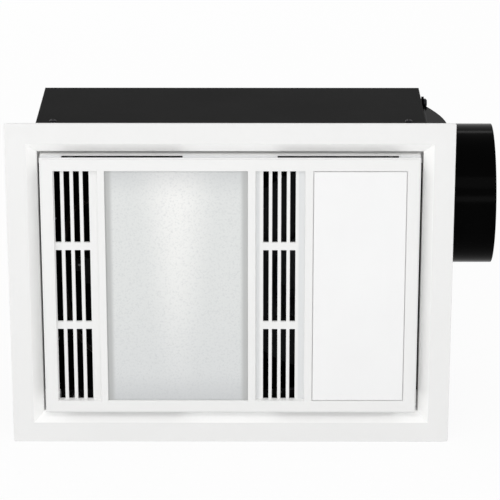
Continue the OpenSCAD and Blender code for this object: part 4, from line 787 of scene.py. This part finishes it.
FILAMENT_R = 0.00095
FILAMENT_WIRE_R = 0.00022
FILAMENT_PITCH = 0.0014
FILAMENT_STEPS = 12
FILAMENT_SIDES = 6
LOOP_R = 0.0041
LOOP_CLEARANCE = 0.0002
LOOP_PITCH = LAMP_HALF / 4
LOOP_STEPS = 32
LOOP_WIDENING_STEPS = 20
LOOP_RISE = 0.00004
coil_turns = round(2 * LAMP_HALF / FILAMENT_PITCH)
coil = []
for i in range(coil_turns * FILAMENT_STEPS + 1):
    turns = i / FILAMENT_STEPS
    angle = 2 * math.pi * turns
    coil.append(Vector((
        GLASS_MID + FILAMENT_R * math.cos(angle), LAMP_Y + FILAMENT_R * math.sin(angle),
        -LAMP_HALF + turns * FILAMENT_PITCH)))
loops = []
for place in range(-3, 4):
    middle = place * LOOP_PITCH
    loop = []
    for i in range(2 * LOOP_STEPS):
        angle = 2 * math.pi * i / LOOP_STEPS
        widening = (LOOP_R - FILAMENT_R) * min(1, i / LOOP_WIDENING_STEPS)
        reach = FILAMENT_R + LOOP_CLEARANCE + widening
        loop.append(Vector((GLASS_MID + reach * math.cos(angle), LAMP_Y + reach * math.sin(angle),
                            middle + (i - LOOP_STEPS) * LOOP_RISE)))
    loops.append(drawn_bar(loop, FILAMENT_WIRE_R, FILAMENT_SIDES, up=ALONG_Z))
make("filament_coil", [drawn_bar(coil, FILAMENT_WIRE_R, FILAMENT_SIDES, up=ALONG_Z)] + loops,
     tungsten, "housing", ("lamp_filament",))

# Motor windings: the end turns of the coils, tied with lacing cord

TURN_ROWS = 4
TURN_COLUMNS = 3
TURN_STEPS = 144
FIRST_ROW = 0.000942
ROW_PITCH = 0.00142
COLUMN_PITCH = 0.00172
COPPER_R = 0.00078
COPPER_SIDES = 8
CORD_LOOPS = 24
CORD_STEPS = 24
CORD_R = 0.0003
CORD_SIDES = 6
CORD_BITE = 0.94
TURNS_MIDDLE_R = (WINDING_IN_R + WINDING_OUT_R) / 2


def end_turns(foot_y, seed):
    """Bundle of varnished wires round the stator's bore."""
    luck = random.Random(seed)
    parts = []
    for row in range(TURN_ROWS):
        for column in range(TURN_COLUMNS):
            radius = TURNS_MIDDLE_R + (column - 1) * COLUMN_PITCH
            depth = foot_y + FIRST_ROW + row * ROW_PITCH
            phase = luck.uniform(0, 2 * math.pi)
            sway = luck.uniform(0.00012, 0.0003)
            path = []
            for i in range(TURN_STEPS):
                angle = 2 * math.pi * i / TURN_STEPS
                reach = radius + sway * math.sin(12 * angle + phase)
                path.append(Vector((
                    WHEEL[0] + reach * math.cos(angle), depth + sway * math.cos(16 * angle + phase),
                    WHEEL[1] + reach * math.sin(angle))))
            parts.append(drawn_bar(path, COPPER_R, COPPER_SIDES, closed=True, up=ALONG_Y))
    return parts


def lacing(foot_y):
    """Loops of cord round the bundle, nearly square in section as the bundle is."""
    parts = []
    half_w = (WINDING_OUT_R - WINDING_IN_R) / 2 * CORD_BITE
    half_l = WINDING_L / 2 * CORD_BITE
    for i in range(CORD_LOOPS):
        angle = 2 * math.pi * (i + 0.5) / CORD_LOOPS
        out = Vector((math.cos(angle), 0, math.sin(angle)))
        hub = Vector((WHEEL[0], foot_y + WINDING_L / 2, WHEEL[1])) + out * TURNS_MIDDLE_R
        path = []
        for k in range(CORD_STEPS):
            turn = 2 * math.pi * k / CORD_STEPS
            c, d = math.cos(turn), math.sin(turn)
            reach = 1 / max(abs(c), abs(d)) ** 0.6
            path.append(hub + out * (half_w * c * reach) + ALONG_Y * (half_l * d * reach))
        parts.append(drawn_bar(path, CORD_R, CORD_SIDES, closed=True))
    return parts


FRONT_TURNS_Y = MOTOR_Y + SHIELD_L - WINDING_L
REAR_TURNS_Y = MOTOR_Y + SHIELD_L + STATOR_L
make("wound_end_turns", end_turns(FRONT_TURNS_Y, 3) + end_turns(REAR_TURNS_Y, 5),
     copper_wire, "housing", ("motor_windings",))
make("winding_lacing", lacing(FRONT_TURNS_Y) + lacing(REAR_TURNS_Y),
     cream_nylon, "housing")


# Camera at the photograph's viewpoint

camera = bpy.data.objects.new("viewpoint", bpy.data.cameras.new("viewpoint"))
bpy.context.scene.collection.objects.link(camera)
camera.data.lens = 183.8
camera.data.sensor_width = 36
camera.data.clip_end = 50
camera.location = (0.02573, -2.49271, 0.93305)
camera.rotation_euler = Vector((-0.00206, 0.94088, -0.33874)).to_track_quat("-Z", "Y").to_euler()
bpy.context.scene.camera = camera

# Studio: a pale floor and a white surround

FLOOR_Z = -0.1761
FLOOR_HALF = 9
FLOOR_COLOUR = (0.9, 0.9, 0.9, 1)
FLOOR_GLOW = 0.93
PLAIN_LIGHT = 0.65

floor_mesh = bpy.data.meshes.new("studio_floor")
floor_mesh.from_pydata(
    [(x * FLOOR_HALF, y * FLOOR_HALF, FLOOR_Z) for x, y in ((-1, -1), (1, -1), (1, 1), (-1, 1))],
    [], [(0, 1, 2, 3)])
floor = bpy.data.objects.new("studio_floor", floor_mesh)
bpy.context.scene.collection.objects.link(floor)

paper = bpy.data.materials.new("studio_paper")
paper.use_nodes = True
sheet = Shading(paper.node_tree)
dull = sheet.node("ShaderNodeBsdfDiffuse", {}, {"Color": FLOOR_COLOUR})
glow = sheet.node("ShaderNodeEmission", {}, {"Strength": 1.0})
both = sheet.node(
    "ShaderNodeMixShader", {},
    {0: sheet.looked_at() * FLOOR_GLOW, 1: sheet.wire(dull), 2: sheet.wire(glow)})
sheet.node("ShaderNodeOutputMaterial", {}, {"Surface": sheet.wire(both)})
floor.data.materials.append(paper)

world = bpy.data.worlds.new("studio_air")
bpy.context.scene.world = world
world.use_nodes = True
air = Shading(world.node_tree)
level = air.node(
    "ShaderNodeMapRange", {}, {"Value": air.looked_at(), "To Min": PLAIN_LIGHT, "To Max": 1.0})
white = air.node("ShaderNodeBackground", {}, {"Color": (1, 1, 1, 1), "Strength": air.wire(level)})
air.node("ShaderNodeOutputWorld", {}, {"Surface": air.wire(white)})


def soft_lamp(name, place, size, power):
    """A lamp that looks at the middle of the part."""
    lamp = bpy.data.lights.new(name, "AREA")
    lamp.shape = "RECTANGLE"
    lamp.size, lamp.size_y = size
    lamp.energy = power
    made = bpy.data.objects.new(name, lamp)
    bpy.context.scene.collection.objects.link(made)
    made.location = place
    made.rotation_euler = (-Vector(place)).to_track_quat("-Z", "Y").to_euler()


soft_lamp("front_lamp", (-0.3, -2.8, 0.5), (3.0, 0.45), 16)
soft_lamp("left_lamp", (-2.4, -1.3, 0.4), (1.4, 1.1), 3.5)
soft_lamp("right_lamp", (2.4, -1.3, 0.4), (1.4, 1.1), 3.5)
soft_lamp("top_lamp", (-0.45, -1.75, 1.5), (2.2, 0.8), 10.5)
soft_lamp("rim_lamp", (0.3, 1.9, 1.65), (1.6, 0.25), 5)
soft_lamp("back_lamp", (-0.8, 2.6, 0.05), (2.4, 0.3), 14)

bpy.context.scene.view_settings.view_transform = "Standard"
